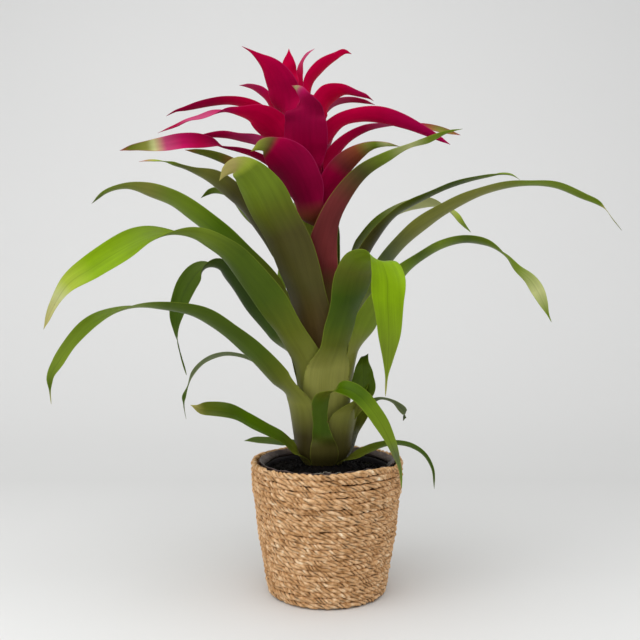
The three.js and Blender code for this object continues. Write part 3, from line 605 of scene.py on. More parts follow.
# %% Leaves low on the plant
LEAVES = {
    "low_front": leaf(27, 31, "-3 soot, -1 bark, 0 bronze, 1.5 pine, 4 moss, 5 olive", [
        (-3, -31, 147, 26, 0), (-5, -33, 157, 21, 0), (-6, -35, 166, 16, 0), (-7, -39, 180, 15, 0),
        (-6, -43, 191, 17, 0), (-2, -48, 199, 16, 0), (4, -52, 202, 14, 5), (12, -57, 206, 15, 40),
        (20, -62, 205, 16, 45), (30, -68, 199, 17, 35), (39, -74, 189, 17, 25), (48, -79, 176, 16, 25),
        (55, -82, 162, 12, 25), (60, -84, 149, 7, 30), (64, -84, 135, 3.1, 30), (65, -84, 120, 1.8, 30),
    ], inner="4 olive, 6 khaki, 6.6 grass, 9 grass, 10 leaf, 12 fern, 13 slate, 15 fern"),
    "low_right": leaf(27, 13, "-1 bark, 0 bronze, 1 olive, 3 moss, 5 pine, 7 pine", [
        (17, -18, 128, 11, 35), (30, -18, 137, 12, 35), (47, -20, 145, 12, 30), (65, -24, 149, 11, 15),
        (79, -27, 147, 10, 15), (91, -30, 140, 8, 15), (99, -32, 127, 4.7, 20),
        (101, -33, 107, 1.9, 20),
    ]),
    "low_left": leaf(27, 12, "-1 bark, 0 bronze, 1 olive, 2 moss, 4 grass, 5 moss, 6.5 olive, "
        "8 straw", [
        (-23, -21, 132, 11, -45), (-32, -25, 144, 13, -55), (-42, -31, 155, 14, -50),
        (-55, -37, 163, 18, -40), (-72, -44, 173, 23, -35), (-88, -51, 182, 24, -30),
        (-107, -57, 186, 23, -25), (-116, -60, 187, 13, -35), (-124, -62, 191, 2.3, -35),
    ]),
    "low_back_left": leaf(27, 22, "0 soot, 1 pine, 2 moss", [
        (-23, 20, 137, 12, -25), (-44, 32, 139, 12, -30), (-65, 42, 139, 12, -25),
        (-77, 47, 139, 8, -30), (-86, 50, 137, 3, -30),
    ]),
    "left_low": leaf(24.8, 41, "-3 soot, -2 bark, -1 bark, 0 khaki, 1 olive, 2 moss, 5 moss, 6 fern, "
        "8 leaf, 10 fern, 12 moss, 13 straw", [
        (-28, -26, 187, 38, 30), (-45, -21, 209, 31, 40), (-67, -24, 234, 27, 40),
        (-91, -30, 255, 25, 35), (-120, -38, 273, 24, 30), (-149, -46, 279, 23, 20),
        (-175, -52, 280, 23, 5), (-192, -56, 276, 22, -12), (-211, -62, 266, 19, -35),
        (-227, -67, 250, 17, -42), (-240, -70, 231, 14, -47), (-247, -72, 217, 8, -42),
        (-247, -73, 207, 2.7, -40), (-246, -73, 193, 1.8, -40),
    ]),
    "front_fold": leaf(22.6, 52, "-3 bark, -2 sage, 0 sage, 1 olive, 2 moss, 3 pine, 4 olive, 5 fern, "
        "6 leaf", [
        (2, -33, 221, 45, 0), (8, -38, 243, 33, 4), (13, -46, 264, 35, 5), (20, -55, 288, 39, 5),
        (26, -67, 311, 40, -4), (34, -80, 322, 38, -14), (46, -93, 321, 36, -12),
        (50, -98.5, 310, 34, 2), (51, -101.4, 286, 29, 14), (52, -102.6, 258, 21, 14),
        (51, -103, 235, 9, 12), (50, -103, 222, 3, 10), (49, -103, 204, 1.7, 10),
    ], ripple=0.0, inner="4 leaf, 5 fern, 6 lime, 8 lime, 9.5 fern, 11 fern, 12 straw"),
    "right_small": leaf(27, 18, "-1 bark, 0 khaki, 1 olive, 2 moss, 4 slate, 7 slate", [
        (29, 10, 153, 17, 20), (36, 16, 170, 13, 30), (43, 22, 180, 9, 25), (53, 30, 184, 6, 20),
        (66, 36, 181, 6, 35), (74, 40, 175, 9, 60), (81, 42, 167, 9, 65), (79, 43, 159, 2.1, 65),
    ]),
    "left_big": leaf(20.4, 40, "-2 khaki, 0 khaki, 1 olive, 2 moss, 3.5 moss, 5 fern, 6 fern, 7 leaf, "
        "8.3 lime, 9 lime, 10 apple, 10.6 pale, 12 straw", [
        (-18, -26, 221, 40, 20), (-35, -35, 255, 36, 25), (-55, -42, 287, 34, 40),
        (-74, -48, 312, 34, 35), (-94, -53, 332, 34, 30), (-112, -57, 342, 32, 20),
        (-133, -60, 346, 31, 0), (-158, -64, 344, 30, -35), (-184, -69, 331, 29, -55),
        (-208, -73, 315, 27, -60), (-229, -76, 300, 20, -58), (-241, -78, 281, 11, -50),
        (-250, -79, 260, 1.8, -45),
    ], ripple=1.0),
    "right_arch": leaf(20.4, 36, "0 khaki, 1 fern, 2 fern, 3 leaf, 4 moss, 5 fern, 6 moss, 8 fern, "
        "10 moss, 12 leaf, 14 fern", [
        (28, -12, 235, 32, -35), (37, -16, 262, 29, -38), (54, -20, 292, 25, -32),
        (72, -24, 313, 25, -24), (89, -27, 326, 23, -20), (107, -30, 336, 22, -18),
        (129, -34, 341, 21, -16), (149, -38, 337, 18, -12), (164, -41, 327, 13, 5),
        (175, -43, 314, 12, 35), (186, -45, 304, 13, 55), (193, -47, 293, 13, 65),
        (198, -48, 282, 9, 65), (202, -49, 272, 2.7, 65), (205, -50, 265, 1.8, 65),
    ], inner="0 pine, 2 moss, 5 moss, 9 fern, 11 pale, 13 fern"),
    "left_thin": leaf(24.8, 25, "0 khaki, 1 moss, 3 slate, 5 slate, 7 pine", [
        (-31, 14, 187, 20, -15), (-55, 24, 211, 14, -15), (-78, 34, 224, 12, -5),
        (-106, 42, 228, 11, -18), (-126, 48, 221, 10, -38), (-140, 52, 206, 7, -55),
        (-145, 54, 193, 3.1, -45), (-149, 54, 181, 6, -70), (-149, 55, 171, 3.7, -65),
        (-147, 55, 159, 2.1, -60),
    ]),
}
print("leaves:", len(LEAVES))

# %% Leaves higher up
LEAVES |= {
    "right_hang": leaf(24.8, 44, "-3 bark, -2 bark, -1 bronze, 0 khaki, 1 olive, 2 pine", [
        (22, -24, 179, 38, -8), (30, -20, 194, 22, 0), (36, -9, 210, 12, 8), (38, 1, 223, 9, 25),
        (37.5, -2, 231, 8, 36), (35, -9, 224, 13, 38), (35, -14, 212, 21, 42), (34, -19, 198, 27, 35),
        (31, -22, 185, 13, 15), (26, -24, 171, 1.9, 10),
    ], ripple=0.3, inner="0 olive, 1 moss, 4 pine, 5 moss, 7 moss, 8 khaki, 9 olive"),
    "right_long": leaf(18.2, 35, "0 pale, 1 fern, 2 slate, 3 khaki, 5 khaki, 6 fern, 8 fern, 9 leaf, "
        "10 straw, 12 slate", [
        (28, -6, 263, 32, -55), (43, 0, 298, 26, -55), (60, 4, 326, 24, -45), (85, 8, 352, 25, -40),
        (119, 12, 375, 25, -32), (161, 14, 393, 25, -15), (196, 16, 399, 22, -5),
        (228, 16, 397, 18, -12), (254, 15, 386, 13, -20), (269, 14, 379, 7, -15),
        (274, 14, 375, 2, -10), (282, 13, 364, 2, 0), (291, 13, 353, 2, 0),
    ]),
    "left_hang": leaf(20.4, 26, "0 khaki, 1 pine, 2 forest, 3.5 forest, 5 moss, 6 moss, 9 pine, "
        "12 moss", [
        (-27, 16, 213, 26, 45), (-52, 24, 251, 26, 58), (-76, 30, 282, 27, 68), (-96, 36, 308, 26, 60),
        (-110, 40, 319, 25, 35), (-120, 43, 319, 24, 0), (-129, 46, 316, 25, -45),
        (-142, 48, 302, 27, -72), (-151, 50, 283, 22, -82), (-156, 51, 263, 15, -85),
        (-156, 52, 247, 7, -80), (-153, 53, 231, 3.1, -70), (-146, 54, 205, 2.1, -60),
    ]),
    "front_big": leaf(18.2, 45, "-2 bark, -1 umber, 0 umber, 1 bronze, 2.3 bronze, 3 olive, 4 fern, "
        "5 fern, 5.5 apple, 6.3 straw", [
        (-13, -28, 255, 44, -5), (-23, -35, 298, 48, 5), (-35, -43, 336, 46, 25),
        (-50, -53, 365, 46, 25), (-61, -63, 386, 44, 20), (-71, -72, 399, 32, 25),
        (-79, -79, 403, 19, 45), (-87, -83, 399, 12, 62), (-94, -86, 389, 2.6, 65),
    ], inner="0 olive, 4 leaf, 6 apple, 7 pale, 8 apple"),
    "left_upper": leaf(18.2, 20, "0 khaki, 1 olive, 2 moss, 3 grass, 4 leaf, 5 fern, 6 khaki, 8 fern, "
        "9 slate", [
        (-31, -2, 260, 30, 45), (-55, -3, 300, 28, 50), (-81, -3, 327, 28, 50), (-106, -2, 351, 28, 50),
        (-127, 0, 368, 28, 45), (-151, 2, 383, 28, 35), (-174, 4, 391, 22, 35), (-198, 6, 395, 15, 15),
        (-217, 8, 390, 9, 10), (-231, 10, 379, 2.5, 10),
    ], ripple=0.3),
    "right_upper": leaf(16, 31, "0 pine, 1 bronze, 2 bronze, 3 olive, 5 moss, 7 fern, 10 fern", [
        (24, 4, 285, 30, -55), (35, 8, 327, 25, -48), (49, 12, 349, 24, -40), (68, 17, 370, 22, -24),
        (93, 21, 384, 22, -16), (123, 26, 398, 20, -14), (149, 29, 406, 16, -10),
        (165, 30, 409, 10, -5), (176, 31, 411, 9, 20), (186, 31, 410, 6, 30), (195, 32, 405, 2, 30),
    ], inner="0 pine, 1 fern, 3 moss, 6 fern"),
    "right_red": leaf(16, 42, "-1 bark, 0 umber, 0.7 wine, 2.6 wine, 3.9 bronze, 5 fern, 6 pale, "
        "7 fern, 9 leaf", [
        (-4, -22, 295, 32, 0), (-5, -27, 327, 31, -5), (3, -32, 362, 25, -15), (16, -38, 385, 20, -35),
        (34, -43, 404, 16, -40), (55, -48, 416, 12, -35), (75, -51, 425, 8, -20),
        (91, -54, 430, 8, -40), (106, -56, 436, 5, -30), (121, -58, 439, 1.8, -15),
    ]),
    "left_dark": leaf(13.8, 28, "0 olive, 1 bronze, 3 bronze, 4.5 khaki, 6 olive, 7 fern, 8 leaf, "
        "9 apple, 11 rose", [
        (-25, 3, 292, 22, 55), (-46, 3, 334, 28, 55), (-69, 6, 365, 28, 50), (-91, 11, 389, 28, 45),
        (-111, 13, 404, 23, 40), (-129, 14, 411, 16, 25), (-143, 15, 416, 12, 15),
        (-153, 16, 419, 8, 20), (-160, 16, 421, 3.9, 0), (-170, 17, 422, 6, -20),
        (-178, 17, 422, 4.9, -25), (-186, 17, 421, 2, -20),
    ]),
    "right_pale": leaf(13.8, 27, "0 pine, 1 olive, 2 fern, 3 pale, 5 pale, 6 apple, 7 fern, 8 leaf", [
        (14, 14, 300, 18, -45), (31, 26, 339, 21, -48), (54, 36, 364, 20, -45), (79, 44, 378, 18, -40),
        (107, 51, 383, 19, -25), (123, 54, 379, 18, 15), (136, 57, 370, 15, 45), (143, 58, 362, 8, 50),
        (151, 60, 354, 2.6, 50),
    ]),
    "right_dark": leaf(11.6, 18, "0 pine, 3 moss", [
        (3, 6, 288, 24, -20), (7, 12, 316, 20, -20), (9, 18, 344, 12, -20), (10, 24, 365, 2.5, -20),
    ]),
    "left_short": leaf(16, 18, "0 olive, 3 fern, 5 moss", [
        (-19, 20, 300, 18, 40), (-50, 34, 342, 16, 50), (-81, 43, 372, 18, 50), (-103, 46, 394, 14, 40),
        (-118, 50, 396, 9, 35), (-130, 52, 389, 2.6, 25),
    ]),
    "left_olive": leaf(11.6, 22, "0 olive, 1 umber, 3 rust, 4 olive, 5 olive, 6 rust", [
        (-23, 4, 322, 22, 45), (-45, 2, 366, 18, 45), (-67, 0, 394, 17, 38), (-87, -2, 414, 15, 35),
        (-105, -3, 422, 13, 35), (-123, -4, 427, 9, 30), (-137, -5, 429, 2.4, 30),
    ]),
}
print("leaves:", len(LEAVES))

# %% Leaves on the far side
FAR_GREEN = "0 olive, 2 fern, 4 leaf"
LEAVES |= {
    "back_low": leaf(27, 22, FAR_GREEN, [
        (4, 28, 150, 20, 0), (8, 58, 162, 20, 0), (8, 92, 160, 18, 0), (6, 114, 147, 10, 0),
        (4, 122, 132, 3, 0),
    ]),
    "back_right": leaf(24.8, 26, FAR_GREEN, [
        (5, 30, 190, 32, 0), (16, 62, 236, 28, 0), (30, 104, 268, 26, 0), (50, 148, 276, 24, 0),
        (66, 182, 262, 17, 0), (75, 200, 238, 3, 0),
    ]),
    "back_left": leaf(22.6, 28, FAR_GREEN, [
        (-4, 30, 205, 34, 0), (-16, 60, 262, 30, 0), (-26, 98, 304, 28, 0), (-38, 144, 322, 26, 0),
        (-48, 184, 312, 20, 0), (-56, 212, 284, 3, 0),
    ]),
    "back_arch": leaf(20.4, 30, FAR_GREEN, [
        (3, 28, 230, 34, 0), (12, 54, 280, 30, 0), (26, 90, 316, 28, 0), (42, 132, 328, 26, 0),
        (56, 174, 316, 20, 0), (64, 204, 290, 3, 0),
    ]),
    "back_high": leaf(18.2, 38, FAR_GREEN, [
        (-6, 27, 255, 34, 0), (-12, 52, 318, 30, 0), (-18, 84, 366, 28, 0), (-24, 122, 390, 24, 0),
        (-30, 158, 388, 16, 0), (-34, 184, 370, 3, 0),
    ]),
    "back_top": leaf(16, 24, FAR_GREEN, [
        (0, 26, 280, 24, 0), (0, 48, 344, 28, 0), (-4, 76, 386, 26, 0), (0, 110, 404, 20, 0),
        (8, 142, 398, 3, 0),
    ]),
    "back_inner": leaf(13.8, 22, FAR_GREEN, [
        (-6, 22, 300, 20, 0), (-16, 42, 362, 24, 0), (-24, 68, 402, 20, 0), (-34, 98, 414, 3, 0),
    ]),
}
print("leaves:", len(LEAVES))

# %% Bracts
BRACTS = {
    "top_point": bract(455, "0 crimson, 2 scarlet", [
        (-36, 2, 486, 17, 0), (-36, 6, 501, 18, 0), (-37, 7, 512, 15, 0), (-37, 8, 521, 8, 0),
        (-37, 8, 529, 1.9, 0),
    ]),
    "top_left": bract(436, "0 plum, 2 plum, 4 crimson, 5 crimson, 6 plum", [
        (-35, -15, 446, 28, 15), (-39, -14, 469, 34, 15), (-44, -18, 488, 33, 28),
        (-54, -22, 503, 22, 38), (-64, -23, 512, 9, 40), (-71, -24, 517, 3.7, 35),
        (-80, -24, 522, 1.9, 30),
    ]),
    "top_thin": bract(463, "0 crimson, 1 crimson, 3 pink", [
        (-28, 23, 493, 11, -5), (-27, 25, 508, 8, 5), (-25, 26, 520, 6, 15), (-19, 26, 529, 5, 30),
        (-12, 26, 534, 2, 35),
    ]),
    "top_right": bract(445, "0 scarlet, 4 scarlet, 5 crimson", [
        (-17, 1, 476, 16, -30), (-17, 1, 495, 19, -35), (-7, 3, 509, 19, -35), (8, 5, 520, 12, -30),
        (18, 6, 525, 7, -30), (24, 6, 523, 1.9, -30),
    ]),
    "back_left": bract(424, "0 crimson, 1 crimson, 2 berry, 4 pink", [
        (-45, 12, 459, 22, 40), (-54, 14, 477, 20, 45), (-64, 18, 489, 16, 35), (-75, 20, 495, 9, 25),
        (-87, 22, 497, 2, 25),
    ]),
    "upper_left": bract(412, "0 crimson, 2 scarlet, 3 crimson, 4 plum, 8 plum", [
        (-45, 1, 442, 24, 45), (-61, 4, 462, 23, 35), (-77, 2, 473, 21, 22), (-96, 4, 477, 18, 15),
        (-112, 6, 476, 17, 15), (-125, 8, 474, 14, 18), (-138, 9, 471, 8, 20), (-147, 9, 469, 3.9, 20),
        (-157, 9, 464, 2, 20),
    ]),
    "front_left": bract(402, "0 crimson, 2 scarlet, 3 scarlet, 4 berry, 5.5 pink, 7 pink, 8 plum, "
        "10 mulberry", [
        (-36, -12, 428, 34, 30), (-50, -16, 447, 35, 35), (-66, -28, 457, 28, 30),
        (-81, -32, 459, 19, 15), (-94, -35, 460, 13, 0), (-106, -38, 457, 12, -25),
        (-117, -40, 453, 10, -30), (-128, -41, 450, 8, -25), (-138, -42, 445, 7, -30),
        (-148, -43, 441, 4.6, -30), (-155, -43, 438, 1.8, -30),
    ], ripple=0.9),
    "front_cup": bract(396, "-1 plum, 1 plum, 2 mulberry, 3.3 mulberry, 4 berry, 4.6 pink, 5.2 pale, "
        "6 berry", [
        (-23, -22, 411, 36, -12), (-21, -32, 432, 45, -15), (-21, -39, 451, 42, -15),
        (-21, -39, 465, 31, -8), (-24, -38, 475, 18, 5), (-28, -38, 480, 9, 25),
        (-33, -39, 482, 1.8, 40),
    ]),
    "upper_right": bract(424, "0 crimson, 1 scarlet, 3 scarlet, 4 berry, 6 plum", [
        (-10, -5, 448, 19, -5), (-8, -8, 466, 26, -35), (1, -8, 480, 26, -35), (14, -11, 484, 19, -25),
        (29, -14, 480, 10, -25), (38, -15, 477, 6, -25), (44, -16, 473, 1.9, -20),
    ]),
    "under_right": bract(418, "0 crimson, 2 pink, 4 plum, 5 pink", [
        (-13, 12, 447, 18, -40), (-5, 16, 466, 15, -40), (7, 19, 478, 12, -30), (22, 21, 482, 10, -25),
        (36, 22, 481, 7, -25), (48, 23, 478, 2, -25),
    ]),
    "right_wide": bract(404, "0 crimson, 2 scarlet, 3 scarlet, 4 crimson, 6 magenta", [
        (-12, -13, 419, 20, -5), (-3, -14, 438, 24, -20), (12, -19, 453, 22, -20),
        (29, -25, 457, 21, -30), (49, -32, 456, 20, -45), (70, -38, 449, 17, -45),
        (92, -43, 438, 10, -40), (112, -46, 427, 2, -40),
    ]),
    "right_slim": bract(382, "0 crimson, 2 crimson, 3 plum, 4 pink, 5 plum, 6 khaki, 7 rust", [
        (-1, 6, 403, 20, -45), (4, 6, 423, 20, -45), (18, 7, 440, 16, -40), (36, 10, 451, 12, -35),
        (60, 13, 456, 8, -10), (92, 15, 456, 8, 40), (112, 16, 452, 8, 60), (132, 17, 447, 2, 60),
    ], ripple=0.7),
    "left_tail": bract(386, "0 crimson, 2 rose, 4 plum, 6 plum", [
        (-40, 8, 419, 20, 45), (-56, 14, 435, 17, 50), (-70, 18, 442, 16, 40), (-86, 20, 445, 14, 30),
        (-102, 22, 448, 11, 28), (-116, 23, 448, 7, 30), (-132, 24, 446, 2, 30),
    ], ripple=1.0),
    "left_green_tip": bract(374, "0 mulberry, 2 plum, 4 mulberry, 5 mulberry, 6 plum, 7 berry, 8 pink, "
        "8.8 pale, 9.2 khaki, 10.3 olive, 11 rust", [
        (-41, -10, 403, 24, 5), (-56, -17, 415, 18, 5), (-71, -24, 422, 14, 10),
        (-84, -29, 425, 11, 10), (-96, -33, 427, 9, -5), (-105, -37, 430, 14, -40),
        (-117, -41, 431, 17, -60), (-132, -45, 430, 17, -68), (-147, -49, 427, 16, -70),
        (-160, -52, 425, 13, -70), (-174, -54, 423, 8, -65), (-187, -56, 420, 1.8, -65),
    ], ripple=0.8),
    "front_wide": bract(356, "-1 rust, 0 rust, 1 mulberry, 3 mulberry, 4.2 plum, 4.6 umber, 5.1 khaki, "
        "6 apple", [
        (-15, -20, 362, 30, -10), (-20, -27, 379, 40, -8), (-26, -36, 396, 48, 5),
        (-36, -44, 411, 46, 28), (-48, -51, 421, 29, 52), (-57, -55, 425, 14, 72),
        (-69, -58, 419, 1.8, 80),
    ]),
    "right_maroon": bract(366, "0 plum, 1.4 plum, 2 wine, 3 rust, 3.8 khaki, 4.3 fern, 5 pale, "
        "6 fern", [
        (-6, -14, 373, 29, -5), (4, -20, 396, 27, -25), (15, -25, 412, 23, -45),
        (28, -30, 422, 17, -50), (41, -33, 428, 10, -45), (54, -35, 429, 6, -35),
        (67, -36, 427, 1.8, -30),
    ]),
    "small_right": bract(398, "0 plum, 1 pink, 2 pink", [
        (-6, 19, 423, 16, -30), (1, 22, 436, 16, -25), (5, 25, 446, 11, -25), (7, 27, 454, 2, -25),
    ]),
}
print("bracts:", len(BRACTS))

# %% Bracts on the far side
FAR_RED = "0 crimson"
BRACTS |= {
    "far_low": bract(362, FAR_RED, [
        (-2, 18, 384, 28, 0), (6, 40, 410, 24, 0), (14, 70, 424, 18, 0), (22, 98, 420, 2, 0),
    ]),
    "far_left": bract(390, FAR_RED, [
        (-24, 18, 412, 28, 0), (-34, 40, 434, 24, 0), (-44, 70, 446, 16, 0), (-54, 100, 440, 2, 0),
    ]),
    "far_right": bract(408, FAR_RED, [
        (-16, 18, 432, 24, 0), (-18, 42, 455, 20, 0), (-14, 68, 465, 13, 0), (-10, 92, 461, 2, 0),
    ]),
    "far_high": bract(440, FAR_RED, [
        (-20, 14, 462, 24, 0), (-16, 28, 482, 20, 0), (-12, 48, 494, 12, 0), (-8, 70, 492, 2, 0),
    ]),
    "far_top": bract(452, FAR_RED, [
        (-31, 15, 474, 20, 0), (-34, 28, 494, 16, 0), (-38, 42, 506, 9, 0), (-42, 56, 508, 2, 0),
    ]),
}
print("bracts:", len(BRACTS))
# %% [markdown]
# ## The skin of a leaf
#
# A bromeliad's leaf is leathery and satin. Fine veins run its whole length, so the pattern has to
# follow the leaf: the mesh stores how far each point is from the middle line, from the edge and from
# the foot, and the noise is stretched along the last of them. The broad colour, from khaki sheath to
# lime blade, is stored too. On top come a darker middle vein on the inner face, a thin pale margin that
# is partly the blade's own paler edge and partly a painted highlight along the thin edge, cloudy
# patches, a few brown specks and, low down, frayed brown edges.

# %% Finish of leaves and bracts
def blade_finish(name, veins, midrib, margin_shade, margin_mix, speck_mix, roughness, gloss):
    """veins and midrib say how much those darken, and the mixes how strongly their shade covers.
    The stored lengths are in millimetres, and places in metres."""
    skin = Bench(name, Specular_IOR_Level=gloss)
    shade = skin.stored("shade", colour=True)
    across, along = skin.stored("across"), skin.stored("along")
    margin, inside = skin.stored("margin"), skin.stored("inside")
    fine = skin.noise(skin.vector(across * 2.6, along * 0.02, 0), 1.0, 3)
    broad = skin.noise(skin.vector(across * 0.25, along * 0.018, 3), 1.0, 2)
    cloud = skin.noise(skin.place(), 38.0, 3)
    light = 1 + (fine - 0.5) * veins + (broad - 0.5) * 0.45 + (cloud - 0.5) * 0.3
    middle = across.math("ABSOLUTE").between(0.75, 0.15)
    light = light * (1 - middle * (inside * midrib))
    colour = skin.shaded(shade, light)
    # the pale margin: partly the blade's own paler edge, partly a painted highlight along its thin edge
    rim = margin.between(1.0, 0.2) * margin_mix
    colour = skin.mix(rim, colour, SHADES[margin_shade])
    specks = skin.noise(skin.place(), 420.0, 1).between(0.74, 0.8)
    specks = specks * skin.noise(skin.place(), 30.0, 1).between(0.55, 0.7) * speck_mix
    colour = skin.mix(specks, colour, SHADES["umber"])
    frayed = skin.noise(skin.place(), 260.0, 1).between(0.58, 0.68) * along.between(190.0, 90.0)
    frayed = frayed * margin.between(1.9, 0.4) * speck_mix
    colour = skin.mix(frayed, colour, SHADES["umber"])
    ridges = (across * 7.0).math("SINE") * 0.5 + fine
    wax = roughness + (broad - 0.5) * 0.2
    return skin.wear(Base_Color=colour, Roughness=wax, Normal=skin.bump(ridges, 0.06, 0.5))


leaf_finish = blade_finish(
    "leaf_skin", veins=0.4, midrib=0.18, margin_shade="apple", margin_mix=0.22, speck_mix=0.9,
    roughness=0.36, gloss=0.08,
)
bract_finish = blade_finish(
    "bract_skin", veins=0.2, midrib=0.0, margin_shade="rose", margin_mix=0.3, speck_mix=0.1,
    roughness=0.5, gloss=0.02,
)
print("finishes:", leaf_finish.name, bract_finish.name)

# %% [markdown]
# ## Leaves and bracts
#
# A leaf's first stations are worked out: its foot curves in to the stem like the layer of an
# onion, at the radius of its own layer, and goes up a short straight neck. The free blade then
# follows the table. A bract starts on the stalk and has only a narrow clasping foot. The last
# number of a worked-out station says how firmly the blade is held round the plant there.

# %% Foot of a leaf and of a bract
SHEATH_BOWL = 113  # height where the rounded foot of a sheath ends
SHEATH_NECK = 10  # and how far it then goes straight up
FREE_RISE = 50  # a free blade that starts higher above the neck gets one more station on its way


def leaf_stations(shell, clasp, path):
    x, y, z = path[0][:3]
    facing = math.atan2(y, x - plant_x(z))
    wrap = 2 * math.radians(clasp)

    def held(out, height):
        return (PLANT_X + out * math.cos(facing), out * math.sin(facing), height, wrap * out, 0, 1)

    start = math.asin((STALK_RADIUS + 1) / shell)
    foot = [
        held(shell * math.sin(polar), SHEATH_BOWL - shell * math.cos(polar))
        for polar in (start, (start + math.pi / 2) / 2, math.pi / 2)
    ]
    neck = SHEATH_BOWL + SHEATH_NECK
    out = math.hypot(x - plant_x(z), y)
    foot.append(held(shell + 0.5, neck))
    if z - neck > FREE_RISE:
        foot.append(held(blend(shell, out, 0.4), blend(neck, z, 0.5)))
    rows = [(*station, 1 if i == 0 else 0) for i, station in enumerate(path)]
    return np.array(foot + rows, float), len(foot)


def bract_stations(base, path):
    x, y, z = path[0][:3]
    facing = math.atan2(y, x - plant_x(z))
    out = stalk_radius(base) + 1
    foot_x = plant_x(base) + out * math.cos(facing)
    foot = [(foot_x, out * math.sin(facing), base, 1.3 * out, 0, 1)]
    rows = [(*station, 0.6 if i == 0 else 0) for i, station in enumerate(path)]
    return np.array(foot + rows, float), 1


# %% Make every leaf and bract
LEAF_SHAPE = {"cup": 0.45, "thickness": 0.8, "step": 2.4}
BRACT_SHAPE = {"cup": 0.6, "thickness": 0.9, "step": 1.8}
INNER_SHELL = 17  # a leaf whose layer is smaller belongs to the inner leaves
faces_made = 0
for seed, (name, plan) in enumerate(LEAVES.items()):
    stations = leaf_stations(plan["shell"], plan["clasp"], plan["path"])
    points, faces, values = blade_parts(*stations, plan, LEAF_SHAPE, seed)
    slot = "inner_leaf" if plan["shell"] < INNER_SHELL else "leaf"
    mesh_piece("blade_" + name, points, faces, leaf_finish, ["leaf_" + name], values)
    faces_made += sum(len(f) for f in faces)
for seed, (name, plan) in enumerate(BRACTS.items(), 100):
    stations = bract_stations(plan["base"], plan["path"])
    points, faces, values = blade_parts(*stations, plan, BRACT_SHAPE, seed)
    mesh_piece("petal_" + name, points, faces, bract_finish, ["bract_" + name], values)
    faces_made += sum(len(f) for f in faces)
print("blades:", len(LEAVES) + len(BRACTS), "faces:", faces_made)

# %% Stalk
stalk = Bench("stalk_skin", Roughness=0.5)
stalk_grain = stalk.noise(stalk.place(), 90.0, 3)
stalk_colour = stalk.hex_ramp(stalk_grain, {0.3: "#4a5220", 0.7: "#7c7c3c"})
stalk.wear(Base_Color=stalk_colour, Normal=stalk.bump(stalk_grain, 0.3))
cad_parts["stem"].data.materials.clear()
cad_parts["stem"].data.materials.append(stalk.material)
print("the stem keeps its solid and wears", stalk.material.name)

# %% [markdown]
# ## Seagrass rope
#
# The basket is wound from rope: three strands of dried grass twisted together, one row on top of
# another, with the last rows folded out as a collar. Each strand is made as its own tube whose
# middle circles the middle of its row, so that the dark gaps between strands are real gaps and
# the rim has the true bumpy outline. A row wanders a little, its twist slips forward and back and
# its strands swell and thin, all by sines that close on themselves after a turn. Each row starts
# its twist at another angle, so that the strands don't line up from row to row. The wall is soft:
# between foot and collar it bulges a few millimetres past the straight cone of the solid.

# %% Measures of the basket
BASKET_HEIGHT = 129.5
BASKET_TOP_RADIUS, BASKET_FOOT_RADIUS = 72, 59
COLLAR_DEPTH = 31
COLLAR_STEP = 3  # how far the collar stands out
COLLAR_FLARE = 1.4  # and how much further at its lower edge
FLARE_FADES = (99, 127)  # heights between which that ends
ROPE_PITCH = 5.4  # height of a row
STRANDS = 3
STRAND_RADIUS = 1.75
STRAND_ORBIT = 1.25  # from the middle of the row to the middle of a strand
LAY = 19  # length in which a strand goes once round its row
BELLY = 3.2  # how far the soft wall bulges
BELLY_GROWS = (8, 68)  # heights between which it does
RIM_BUMP = -1.02  # angle at which the rim stands a little higher, radians
RIM_BUMP_SPREAD = 0.3


def basket_radius(z):
    return blend(BASKET_FOOT_RADIUS, BASKET_TOP_RADIUS, z / BASKET_HEIGHT)


def row_radius(z):
    """The soft wall bulges a little above its foot, and the folded collar stands out from it."""
    rope = STRAND_RADIUS + STRAND_ORBIT
    if z > BASKET_HEIGHT - COLLAR_DEPTH:
        flare = COLLAR_FLARE * (1 - smooth_step(z, *FLARE_FADES))
        return basket_radius(z) + COLLAR_STEP - rope + flare
    return basket_radius(z) - rope + BELLY * smooth_step(z, *BELLY_GROWS)


def rim_bump(angle):
    """1 where the rim stands highest, falling off to both sides like a bell."""
    return np.exp(4 * (np.cos(angle - RIM_BUMP) - 1) / RIM_BUMP_SPREAD)


print("basket:", 2 * (BASKET_TOP_RADIUS + COLLAR_STEP), "mm across,", BASKET_HEIGHT, "mm high")

# %% One row of rope
STRAND_SIDES = 8
RING_STEP = 1.15  # from one ring of a strand to the next
OUT_SWAY, UP_SWAY = 0.28, 0.42  # how far a row wanders
SLIP = 1.3  # how far its twist slips, radians
NEXT_ROW_TWIST = 2.4  # radians


